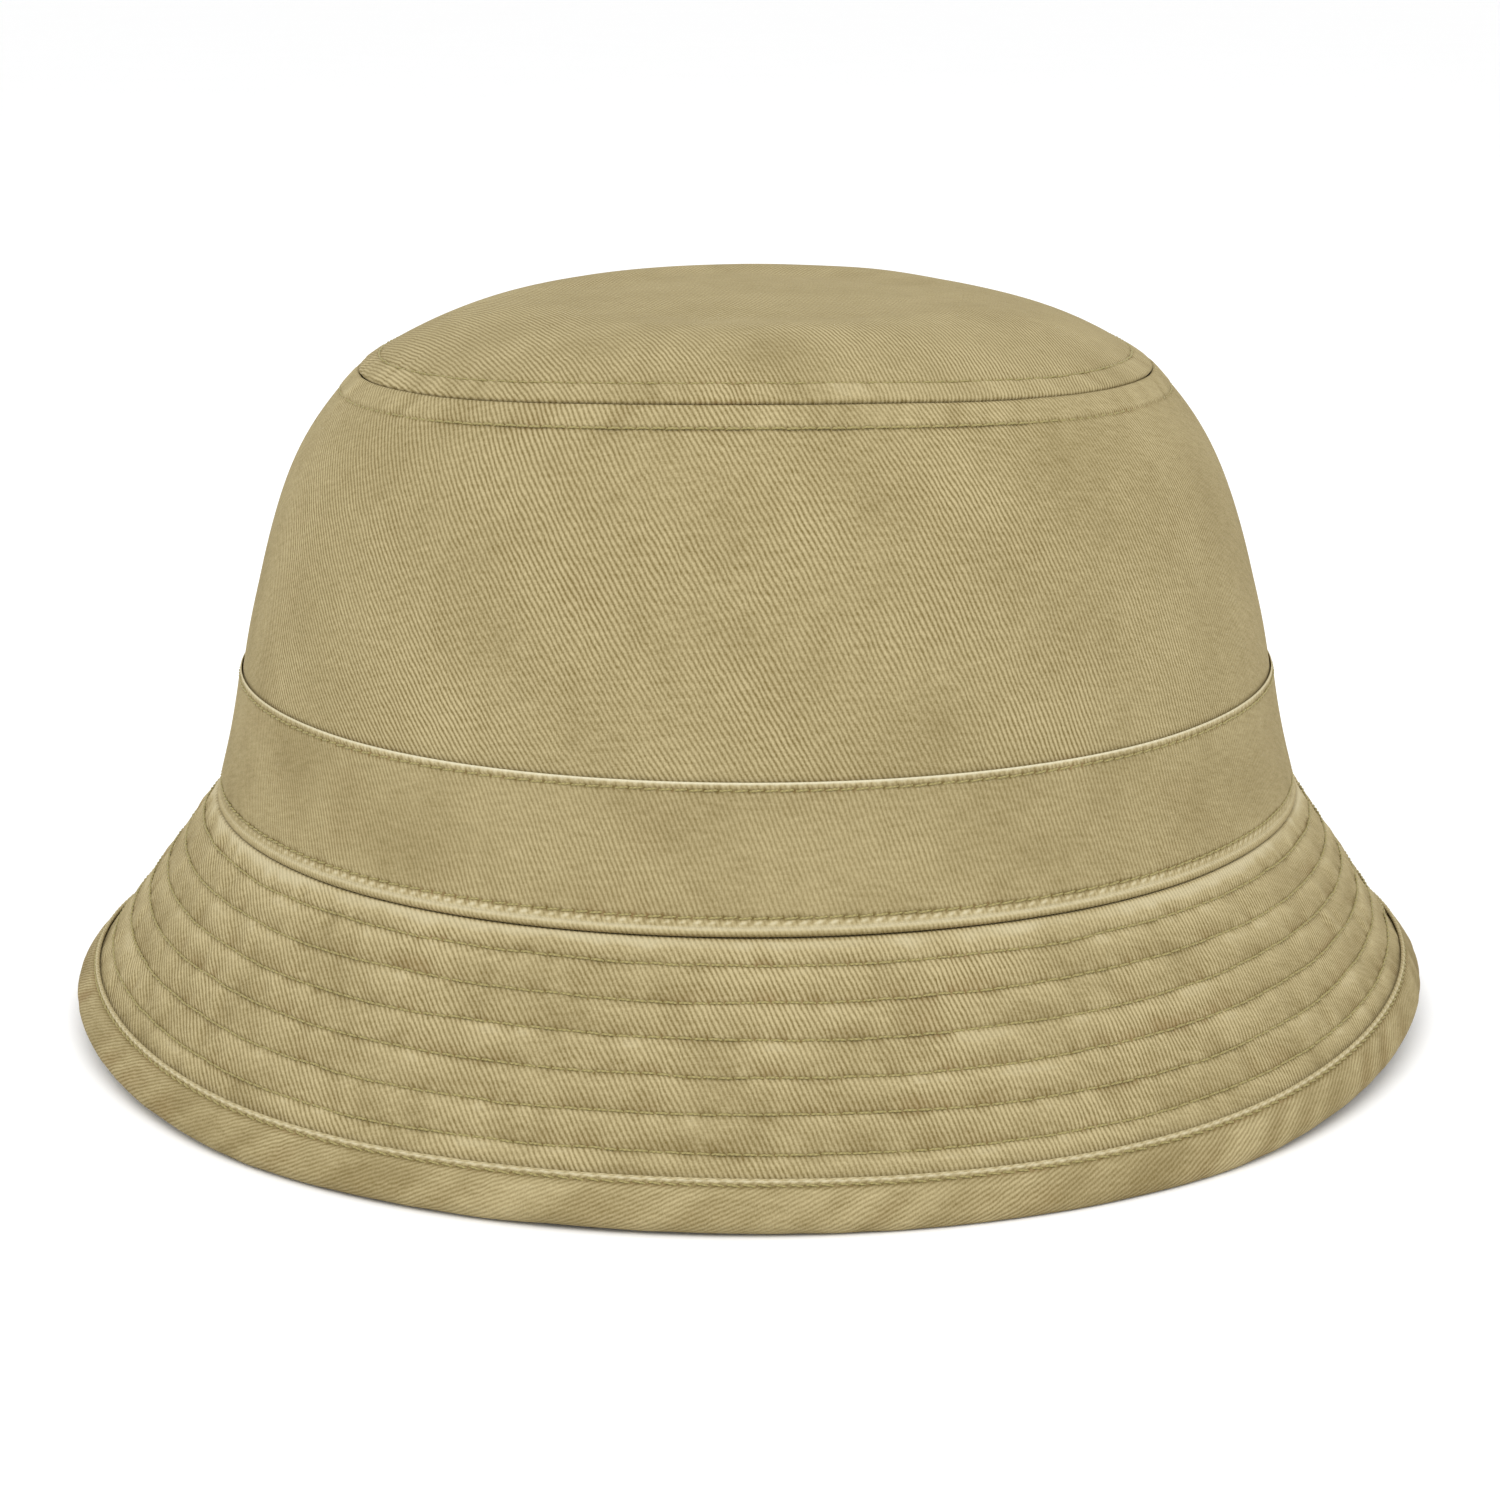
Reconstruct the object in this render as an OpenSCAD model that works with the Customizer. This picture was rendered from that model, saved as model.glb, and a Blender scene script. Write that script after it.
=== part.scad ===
// Bucket hat: a sewn cotton hat with a flat-topped crown, a band over the head
// seam and a sloping brim with parallel rows of stitching and a bound edge.
// Millimetres, +Z up. The origin is on the ground in the middle of the hat,
// -Y is the front, and the hat stands on the fold of its edge binding.

/* [Head opening] */
// Girth of the head that the hat fits, inside the sweatband
head_girth = 590; // [520:5:650]
// How much longer the opening is from front to back than from side to side
head_oval = 22; // [4:1:36]

/* [Crown] */
// Height of the crown side, measured up its slope
crown_slant = 75; // [62:1:95]
// Lean of the crown side inwards, in degrees
crown_lean = 12.5; // [4:0.5:16]
// Height of the straight part of the crown side, before it rounds over
crown_straight = 39; // [24:1:50]
// Radius of the rounded upper part of the crown side
shoulder_radius = 70; // [50:1:110]
// Slope of the tip where it leaves the seam, in degrees
tip_slope = 40; // [20:1:50]
// Radius of the rounded rim of the tip
tip_radius = 50; // [30:1:55]

/* [Brim] */
// Width of the brim, measured down its slope
brim_slant = 42; // [34:1:65]
// Lean of the brim outwards, in degrees from upright
brim_lean = 32.5; // [20:0.5:60]
// Distance from the head seam to the first row of brim stitching
first_row = 4.7; // [4:0.1:8]
// Distance from the last row of brim stitching to the binding
last_row = 3.6; // [3:0.1:8]
// Width of the edge binding on the brim, above its fold
binding_width = 7; // [4:0.5:12]
// Width of the flat that the binding's fold stands on
rim_flat = 2.4; // [1.5:0.1:2.8]

/* [Bands and tapes] */
// Height of the outer band
band_height = 21.5; // [15:0.5:35]
// Height of the outer band's lower edge above the head seam
band_lift = 1.2; // [1.1:0.1:3]
// Height of the sweatband
sweatband_height = 30; // [20:1:40]
// Width of the tape over the tip seam
tip_tape_width = 20; // [18:1:26]
// Width of the tapes over the side seams
side_tape_width = 16; // [10:1:22]
// Width of the blank label
label_width = 34; // [15:1:50]
// Height of the blank label
label_height = 16; // [8:1:20]

/* [Cloth] */
// Thickness of the twill
cloth = 0.6; // [0.4:0.05:0.8]
// Thickness of the brim's stiffening layer
interlining_thick = 1.2; // [0.6:0.1:2]
// Thickness of the sweatband
sweatband_thick = 0.7; // [0.5:0.1:1.2]
// Thickness of the outer band with its edges turned in
band_thick = 1; // [0.8:0.1:1.4]
// Thickness of the rolls along the edges of the outer band
band_roll = 1.8; // [1.4:0.1:2]
// Thickness of the seam tapes
tape_thick = 0.4; // [0.3:0.05:0.6]
// Depth of the seam allowances
allowance = 8; // [6:0.5:8.5]
// Diameter of the sewing thread
thread = 0.4; // [0.25:0.05:0.5]

/* [Stitching] */
// Distance of the crown's topstitching from the tip seam, on both sides
tip_stitch = 4.2; // [3:0.1:6]
// Distance of the upper band stitching from the band's top edge
band_stitch_top_in = 1.2; // [1:0.1:3]
// Distance of the lower band stitching from the band's bottom edge
band_stitch_bottom_in = 2; // [1.8:0.1:4]
// Distance of the binding's stitching from the binding's upper edge
binding_stitch_in = 1; // [0.8:0.1:2]
// Distance of the sweatband's stitching from its top edge
sweatband_stitch_in = 2; // [1:0.1:4]

/* [Hidden] */
BRIM_ROWS = 6;

$fn = 96;
KHAKI = [0.66, 0.60, 0.43];
KHAKI_LIGHT = [0.72, 0.66, 0.49];
KHAKI_DARK = [0.58, 0.52, 0.36];
CANVAS = [0.86, 0.84, 0.78];
LABEL = [0.93, 0.92, 0.88];

gap = 0.1;          // room between two layers that are sewn together
seam_gap = 0.3;     // room between two panels that meet edge to edge
far = 400;          // beyond the hat on every side

// --- The oval -------------------------------------------------------------
// Every horizontal section of the hat is an oval of four arcs, each meeting the
// next in a smooth join. The centres of two neighbouring arcs lie 3, 4 and 5
// times `swing` apart, so the arcs meet on a line that falls 3 in 4.
function snap(x) = round(x * 100) / 100;
join_angle = atan2(3, 4);
swing = snap(head_oval / 4);
side_arcs = 4 * 5 * swing * join_angle * PI / 180;
end_radius = snap((head_girth - side_arcs) / (2 * PI));
side_radius = end_radius + 5 * swing;
half_width = end_radius + swing;
half_depth = end_radius + 3 * swing;

// --- Layers ---------------------------------------------------------------
// Distances outwards from the inner face of the sweatband, first in the crown
// and then in the brim.
brim_under_in = sweatband_thick + gap;
brim_under_out = brim_under_in + cloth;
flange_in = brim_under_out + gap;
flange_out = flange_in + cloth;
crown_in = flange_out + gap;
crown_out = crown_in + cloth;
band_in = crown_out + gap;
band_out = band_in + band_thick;
tape_out = crown_out - 2 * cloth - 2 * gap;
tape_in = tape_out - tape_thick;
interlining_in = brim_under_out + gap;
interlining_out = interlining_in + interlining_thick;
brim_top_in = interlining_out + gap;
brim_top_out = brim_top_in + cloth;
binding_in = brim_under_in - gap - cloth;
binding_out = brim_top_out + gap + cloth;

// The head seam's height above the ground, with the binding's fold under it
head_z = brim_slant * cos(brim_lean) - brim_under_in * sin(brim_lean) + gap + cloth;
binding_top = brim_slant - binding_width + gap + cloth;
band_top = band_lift + band_height;
row_pitch = (binding_top - last_row - first_row) / (BRIM_ROWS - 1);

// --- Lines that the layers follow -----------------------------------------
// Each gives a point [outwards, up] at a distance along the line and a distance
// out from the head line's own surface.
function crown_turn(s) = crown_lean + max(0, s - crown_straight) / shoulder_radius * 180 / PI;
shoulder_centre = [0, head_z]
    + crown_straight * [-sin(crown_lean), cos(crown_lean)]
    - shoulder_radius * [cos(crown_lean), sin(crown_lean)];
function crown_at(s, out) =
    s < crown_straight
        ? [0, head_z] + s * [-sin(crown_lean), cos(crown_lean)] + out * [cos(crown_lean), sin(crown_lean)]
        : shoulder_centre + (shoulder_radius + out) * [cos(crown_turn(s)), sin(crown_turn(s))];

// The tip starts at the outer face of the crown's top edge.
tip_arc = tip_slope * PI / 180 * tip_radius;
tip_start = crown_at(crown_slant, crown_out);
tip_centre = tip_start - tip_radius * [sin(tip_slope), cos(tip_slope)];
function tip_turn(t) = max(0, tip_slope - t / tip_radius * 180 / PI);
function tip_at(t, out) = tip_centre
    + (tip_radius + out) * [sin(tip_turn(t)), cos(tip_turn(t))] - [max(0, t - tip_arc), 0];

function brim_at(d, out) = [0, head_z]
    + d * [sin(brim_lean), -cos(brim_lean)] + out * [cos(brim_lean), sin(brim_lean)];

// Stations along the crown and the tip: the ends of a strip, and steps on the arcs between
ARC_STEP = 5;
function stations(from, to, bend) =
    concat([from], from < bend && bend < to ? [bend] : [],
           [for (k = [1:ceil(to / ARC_STEP)]) if (k * ARC_STEP > max(from, bend) + 1 && k * ARC_STEP < to - 1)
               k * ARC_STEP],
           [to]);
function reversed(list) = [for (i = [len(list) - 1:-1:0]) list[i]];
function crown_stations(from, to) = stations(from, to, crown_straight);
function tip_stations(from, to) = stations(from, min(to, tip_arc), 0);

// --- Solids from the lines ------------------------------------------------
module side_wedge() {
    translate([-4 * swing, 0, -far])
        linear_extrude(2 * far) polygon([[0, 0], [4 * far, -3 * far], [4 * far, 3 * far]]);
}

module end_wedge() {
    translate([0, 3 * swing, -far])
        linear_extrude(2 * far) polygon([[0, 0], [4 * far, 3 * far], [-4 * far, 3 * far]]);
}

// Carries a section, drawn as [outwards, up] from the head line, round the oval
module round_oval() {
    for (side = [0, 1]) mirror([side, 0, 0]) intersection() {
        side_wedge();
        translate([-4 * swing, 0, 0]) rotate_extrude() translate([side_radius, 0]) children();
    }
    for (end = [0, 1]) mirror([0, end, 0]) intersection() {
        end_wedge();
        translate([0, 3 * swing, 0]) rotate_extrude() translate([end_radius, 0]) children();
    }
}

// As round_oval, for a section that runs on to the middle of the hat
module over_oval() {
    for (side = [0, 1]) mirror([side, 0, 0]) intersection() {
        side_wedge();
        translate([-4 * swing, 0, 0]) rotate_extrude() half_plane() translate([side_radius, 0]) children();
    }
    for (end = [0, 1]) mirror([0, end, 0]) intersection() {
        end_wedge();
        translate([0, 3 * swing, 0]) rotate_extrude() half_plane() translate([end_radius, 0]) children();
    }
}

module half_plane() {
    intersection() {
        square([far, far]);
        children();
    }
}

module front_half() {
    intersection() {
        children();
        translate([-far, -far - seam_gap / 2, -far]) cube([2 * far, far, 2 * far]);
    }
}

module back_half() {
    intersection() {
        children();
        translate([-far, seam_gap / 2, -far]) cube([2 * far, far, 2 * far]);
    }
}

// A strip of the crown side between two heights and two distances out
module crown_strip(from, to, inner, outer) {
    list = crown_stations(from, to);
    polygon(concat([for (s = list) crown_at(s, outer)], [for (s = reversed(list)) crown_at(s, inner)]));
}

module brim_strip(from, to, inner, outer) {
    polygon([brim_at(from, outer), brim_at(to, outer), brim_at(to, inner), brim_at(from, inner)]);
}

// One line of thread, lying on the face that `out` names; inward threads lie under it
module crown_thread(s, out, inward = false) {
    lie = out + (inward ? -1 : 1) * (gap + thread) / 2;
    translate(crown_at(s, lie)) circle(d = thread);
}

module tip_thread(t, out, inward = false) {
    lie = out + (inward ? -1 : 1) * (gap + thread) / 2;
    translate(tip_at(t, lie)) circle(d = thread);
}

module brim_thread(d, out, inward = false) {
    lie = out + (inward ? -1 : 1) * (gap + thread) / 2;
    translate(brim_at(d, lie)) circle(d = thread);
}

// --- Crown ----------------------------------------------------------------
module crown_tip() {
    edge = tip_stations(seam_gap / 2, allowance);
    rest = tip_stations(allowance, far);
    color(KHAKI) over_oval() polygon(concat(
        [for (t = edge) tip_at(t, 0)],
        [for (t = rest) tip_at(t, 0)],
        [tip_at(far, 0), tip_at(far, -cloth)],
        [for (t = reversed(rest)) tip_at(t, -cloth)],
        [for (t = reversed(edge)) tip_at(t, -2 * cloth - gap)]));
}

module crown_side() {
    round_oval() {
        crown_strip(cloth, crown_slant - seam_gap / 2, crown_in, crown_out);
        crown_strip(crown_slant - allowance, crown_slant - seam_gap / 2, tape_out + gap, crown_out);
    }
}

module crown_side_front() {
    color(KHAKI) front_half() crown_side();
}

module crown_side_back() {
    color(KHAKI) back_half() crown_side();
}

// The upper edge is a small roll and the lower edge a full one
module outer_band() {
    edge_roll = band_thick + gap;
    color(KHAKI_LIGHT) round_oval() {
        crown_strip(band_lift, band_top, band_in, band_out);
        translate(crown_at(band_lift, band_in + band_roll / 2)) circle(d = band_roll);
        translate(crown_at(band_top - edge_roll / 2, band_in + edge_roll / 2 + gap)) circle(d = edge_roll);
    }
}

// --- Brim -----------------------------------------------------------------
// Where a layer of the brim turns up into the crown, at a distance out from the head line
function turn_up(out) = [0, head_z]
    + out / cos((brim_lean - crown_lean) / 2)
    * [cos((brim_lean + crown_lean) / 2), sin((brim_lean + crown_lean) / 2)];

// Extra room before the brim's step, so that the step clears the band's lower roll
roll_centre = crown_at(band_lift, band_in + band_roll / 2) - [0, head_z];
roll_reach = band_roll / 2 + seam_gap;
roll_height = roll_centre * [cos(brim_lean), sin(brim_lean)] - brim_top_out;
step_room = abs(roll_height) < roll_reach
    ? max(0, roll_centre * [sin(brim_lean), -cos(brim_lean)]
        + sqrt(pow(roll_reach, 2) - pow(roll_height, 2)) - 2 * cloth - gap)
    : 0;

// The upper layer steps out over the stiffening, under the lower edge of the crown side
module brim_top() {
    round_oval() polygon([
        crown_at(allowance, flange_out), crown_at(cloth - 1.5 * gap, flange_out),
        brim_at(2 * cloth + gap + step_room, brim_top_out), brim_at(brim_slant, brim_top_out),
        brim_at(brim_slant, brim_top_in), brim_at(3 * cloth + gap + step_room, brim_top_in),
        brim_at(1.5 * cloth, flange_in), turn_up(flange_in), crown_at(allowance, flange_in)]);
}

module brim_top_front() {
    color(KHAKI) front_half() brim_top();
}

module brim_top_back() {
    color(KHAKI) back_half() brim_top();
}

module brim_interlining() {
    color(CANVAS) round_oval() brim_strip(4 * cloth + gap + step_room, brim_slant, interlining_in, interlining_out);
}

module brim_under() {
    round_oval() polygon([
        crown_at(allowance, brim_under_out), turn_up(brim_under_out),
        brim_at(brim_slant, brim_under_out), brim_at(brim_slant, brim_under_in),
        turn_up(brim_under_in), crown_at(allowance, brim_under_in)]);
}

module brim_under_front() {
    color(KHAKI) front_half() brim_under();
}

module brim_under_back() {
    color(KHAKI) back_half() brim_under();
}

// Cloth folded round the brim's edge, flat where the hat stands on it
module edge_binding() {
    fold = brim_slant + gap;
    foot = [brim_at(head_z / cos(brim_lean), binding_in)[0] + binding_in * tan(brim_lean) * sin(brim_lean), 0];
    color(KHAKI_DARK) round_oval() polygon([
        brim_at(binding_top, binding_out), brim_at(fold + cloth, binding_out),
        foot + [rim_flat, 0], foot, brim_at(binding_top, binding_in),
        brim_at(binding_top, brim_under_in - gap), brim_at(fold, brim_under_in - gap),
        brim_at(fold, brim_top_out + gap), brim_at(binding_top, brim_top_out + gap)]);
}

// --- Inside ---------------------------------------------------------------
module sweatband() {
    color(KHAKI_LIGHT) round_oval() crown_strip(0, sweatband_height, 0, sweatband_thick);
}

module tip_seam_tape() {
    crown_part = crown_stations(crown_slant - tip_tape_width / 2, crown_slant - tape_thick);
    tip_part = tip_stations(tape_thick, tip_tape_width / 2);
    drop = 2 * cloth + 2 * gap;
    color(KHAKI_DARK) round_oval() polygon(concat(
        [for (s = crown_part) crown_at(s, tape_out)],
        [for (t = tip_part) tip_at(t, -drop)],
        [for (t = reversed(tip_part)) tip_at(t, -drop - tape_thick)],
        [for (s = reversed(crown_part)) crown_at(s, tape_in)]));
}

// Lies on the inside of the crown, from above the brim's turned-up edge to the tip seam's tape
module side_seam_tape() {
    from = allowance + gap;
    to = crown_slant - max(tip_tape_width / 2, allowance) - 3 * gap;
    color(KHAKI_DARK) intersection() {
        round_oval() crown_strip(from, to, crown_in - gap - tape_thick, crown_in - gap);
        translate([0, -side_tape_width / 2, 0]) cube([far, side_tape_width, far]);
    }
}

module side_seam_tape_right() {
    side_seam_tape();
}

module side_seam_tape_left() {
    mirror([1, 0, 0]) side_seam_tape();
}

// A plain woven tab, with nothing on it, at the back of the sweatband
module blank_label() {
    low = (sweatband_height - label_height) / 2;
    color(LABEL) intersection() {
        round_oval() crown_strip(low, low + label_height, -gap - tape_thick, -gap);
        translate([-label_width / 2, 0, 0]) cube([label_width, far, far]);
    }
}

// --- Thread: each row is a top thread and the thread under the layers it holds ---
module tip_stitch_above() {
    color(KHAKI_LIGHT) round_oval() {
        tip_thread(tip_stitch, 0);
        tip_thread(tip_stitch, -2 * cloth - 2 * gap - tape_thick, true);
    }
}

module tip_stitch_below() {
    color(KHAKI_LIGHT) round_oval() {
        crown_thread(crown_slant - tip_stitch, crown_out);
        crown_thread(crown_slant - tip_stitch, tape_in, true);
    }
}

module band_stitch_top() {
    color(KHAKI_LIGHT) round_oval() {
        crown_thread(band_top - band_stitch_top_in, band_out);
        crown_thread(band_top - band_stitch_top_in, crown_in - gap - tape_thick, true);
    }
}

module band_stitch_bottom() {
    color(KHAKI_LIGHT) round_oval() {
        crown_thread(band_lift + band_stitch_bottom_in, band_out);
        crown_thread(band_lift + band_stitch_bottom_in, 0, true);
    }
}

module brim_stitch_row(i) {
    d = first_row + (i - 1) * row_pitch;
    color(KHAKI_LIGHT) round_oval() {
        brim_thread(d, brim_top_out);
        brim_thread(d, brim_under_in, true);
    }
}

module binding_stitch() {
    d = binding_top + binding_stitch_in;
    color(KHAKI_LIGHT) round_oval() {
        brim_thread(d, binding_out);
        brim_thread(d, binding_in, true);
    }
}

module sweatband_stitch() {
    color(LABEL) round_oval() {
        crown_thread(sweatband_height - sweatband_stitch_in, 0, true);
        crown_thread(sweatband_height - sweatband_stitch_in, sweatband_thick);
    }
}

crown_tip();
crown_side_front();
crown_side_back();
outer_band();
brim_top_front();
brim_top_back();
brim_interlining();
brim_under_front();
brim_under_back();
edge_binding();
sweatband();
tip_seam_tape();
side_seam_tape_left();
side_seam_tape_right();
blank_label();
tip_stitch_above();
tip_stitch_below();
band_stitch_top();
band_stitch_bottom();
binding_stitch();
sweatband_stitch();
for (i = [1:BRIM_ROWS])
    brim_stitch_row(i);
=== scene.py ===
import math

import bpy
import numpy as np
from bpy.props import FloatProperty, FloatVectorProperty, IntProperty, PointerProperty
from mathutils import Matrix, Vector


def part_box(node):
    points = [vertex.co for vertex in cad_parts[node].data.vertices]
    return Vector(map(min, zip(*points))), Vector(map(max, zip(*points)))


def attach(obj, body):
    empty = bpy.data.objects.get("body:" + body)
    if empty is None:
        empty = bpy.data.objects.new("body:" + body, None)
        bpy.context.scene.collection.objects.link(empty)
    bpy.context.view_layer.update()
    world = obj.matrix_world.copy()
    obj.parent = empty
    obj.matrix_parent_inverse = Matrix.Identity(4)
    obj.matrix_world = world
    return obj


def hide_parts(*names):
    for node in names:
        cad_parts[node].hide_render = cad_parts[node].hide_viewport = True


bl_info = {
    "name": "Bucket hat",
    "version": (1, 0, 0),
    "blender": (4, 5, 0),
    "location": "3D View > Sidebar > Hat",
    "description": "Sews a twill bucket hat from its flat pieces",
    "category": "Object",
}

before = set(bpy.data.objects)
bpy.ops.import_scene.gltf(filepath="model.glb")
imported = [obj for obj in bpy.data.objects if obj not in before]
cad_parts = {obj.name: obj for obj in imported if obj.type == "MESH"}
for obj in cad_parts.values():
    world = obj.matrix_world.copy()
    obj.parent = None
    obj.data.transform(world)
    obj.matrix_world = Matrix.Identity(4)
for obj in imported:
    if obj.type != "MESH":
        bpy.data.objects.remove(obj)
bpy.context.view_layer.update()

MM = 1000.0
TAU = 2 * math.pi


def box_mm(node):
    """Lowest and highest corner of a piece of the frame, in millimetres."""
    low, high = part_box(node)
    return np.array(low) * MM, np.array(high) * MM


# --- Settings ---------------------------------------------------------------


def metres(name, description, default):
    """A setting in metres."""
    return FloatProperty(name=name, description=description, default=default, unit="LENGTH")


def degrees(name, description, default):
    """A setting given in degrees and kept in radians."""
    default = math.radians(default)
    return FloatProperty(name=name, description=description, default=default, subtype="ANGLE")


def amount(name, description, default):
    """A setting without a unit."""
    return FloatProperty(name=name, description=description, default=default)


def tint(name, description, default):
    """A setting that holds a colour."""
    return FloatVectorProperty(
        name=name, description=description, default=default, subtype="COLOR"
    )


class HatShape(bpy.types.PropertyGroup):
    """Sizes of the hat as it is worn"""

    crown_lean: degrees("Crown lean", "Lean of the crown side inwards", 12.5)
    crown_slant: metres("Crown slant", "Height of the crown side up its slope", 0.075)
    crown_straight: metres("Crown straight", "Height of the crown side's straight part", 0.039)
    shoulder_radius: metres(
        "Shoulder radius", "Radius of the crown side where it rounds over", 0.070
    )
    tip_slope: degrees("Tip slope", "Slope of the tip at its seam", 36.8)
    tip_radius: metres("Tip radius", "Radius of the tip's rounded rim", 0.0545)
    tip_rise: metres(
        "Tip rise", "How much higher the tip seam lies at the front than at the sides", 0.0032
    )
    brim_slant: metres("Brim slant", "Width of the brim down its slope", 0.042)
    brim_lean: degrees("Brim lean", "Lean of the brim from upright", 32.5)
    brim_rise: metres("Brim rise", "How much the brim's edge rises at the sides", 0.0042)
    brim_shift: metres(
        "Brim shift", "How far the brim's edge hangs to the right of the wearer", 0.0014
    )
    first_row: metres(
        "First row", "Distance from the head seam to the first row of brim stitching", 0.0047
    )
    last_row: metres(
        "Last row", "Distance from the last row of brim stitching to the binding", 0.0036
    )
    binding_width: metres(
        "Binding width", "Width of the edge binding above its fold", 0.007
    )
    band_height: metres("Band height", "Height of the outer band", 0.0215)
    band_lift: metres(
        "Band lift", "Height of the outer band's lower edge above the head seam", 0.0012
    )
    sweatband_height: metres("Sweatband height", "Height of the sweatband", 0.030)


class HatCloth(bpy.types.PropertyGroup):
    """Thickness, relief and stitching of the cloth"""

    cloth: metres("Twill", "Thickness of the twill", 0.0006)
    sweatband: metres("Sweatband", "Thickness of the sweatband", 0.0007)
    stitch: metres("Stitch", "Length of one stitch", 0.0022)
    thread: metres("Thread", "Diameter of the sewing thread", 0.00036)
    puff: metres("Puff", "Height of the brim's cloth between two rows of stitching", 0.00042)
    pucker: metres(
        "Pucker", "Height of the small creases that the stitching draws in", 0.00034
    )
    columns: IntProperty(
        name="Columns",
        description="Points round the hat on each line of cloth",
        default=1152,
        min=96,
    )


class HatColours(bpy.types.PropertyGroup):
    """Colours of the cloth and the stage"""

    rib: tint(
        "Rib", "Top of a twill rib, where the dye has worn off", (0.450, 0.375, 0.207)
    )
    furrow: tint("Furrow", "Between two twill ribs", (0.152, 0.112, 0.036))
    # Mixed in where the cloth's point attribute is below 0: darker dye in the seams, and painted
    # shade under the band's roll, in grooves and on the lower part of each puff.
    shade: tint("Shade", "Unworn dye down in a seam", (0.132, 0.090, 0.030))
    rust: tint(
        "Rust", "Reddish cast that washing leaves in the hollows", (0.290, 0.185, 0.085)
    )
    # Pale colour mixed in where the point attribute is high: bare rubbed cotton, and painted
    # highlight on the ridges of the band and the binding.
    worn_and_lit: tint(
        "Worn", "Bare cotton on the folds that rub most", (0.600, 0.550, 0.385)
    )
    thread: tint("Thread", "Sewing thread", (0.312, 0.260, 0.100))
    canvas: tint("Canvas", "Unbleached canvas of the stiffening", (0.700, 0.660, 0.560))
    label: tint("Label", "Blank woven label", (0.780, 0.750, 0.680))
    floor: tint("Floor", "Pale floor", (0.97, 0.97, 0.97))


class HatStage(bpy.types.PropertyGroup):
    """Camera and light"""

    lens: amount("Lens", "Focal length in millimetres", 84.45)
    distance: metres("Distance", "Distance of the camera from the middle of the hat", 0.603)
    elevation: degrees("Elevation", "Height of the camera as an angle", 13.45)
    sky: amount("Sky", "Brightness of the even light from all round", 1.03)
    key: amount("Key light", "Power of the large soft light over the front", 11.0)
    fill: amount("Fill light", "Power of the soft lights at the sides and the back", 1.7)


# --- Lines of the hat -------------------------------------------------------


def smooth(low, high, x):
    """A soft step from 0 at low to 1 at high."""
    t = np.clip((x - low) / (high - low), 0, 1)
    return t * t * (3 - 2 * t)


def near(x, at, width):
    """A soft bump, 1 at its middle."""
    return np.exp(-(((x - at) / width) ** 2))


def ripple(seed, turn, across, waves, length):
    """A smooth random height from -1 to 1, which joins up after one turn of the hat."""
    lines = 64
    table = np.random.default_rng(seed).uniform(-1, 1, (waves, lines))
    x, y = np.broadcast_arrays((turn % 1.0) * waves, across / length + 20)
    i, j = np.floor(x).astype(int), np.floor(y).astype(int)
    fx, fy = x - i, y - j
    fx, fy = fx * fx * (3 - 2 * fx), fy * fy * (3 - 2 * fy)
    i0, i1, j0, j1 = i % waves, (i + 1) % waves, j % lines, (j + 1) % lines
    low = table[i0, j0] * (1 - fx) + table[i1, j0] * fx
    high = table[i0, j1] * (1 - fx) + table[i1, j1] * fx
    return low * (1 - fy) + high * fy


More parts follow.
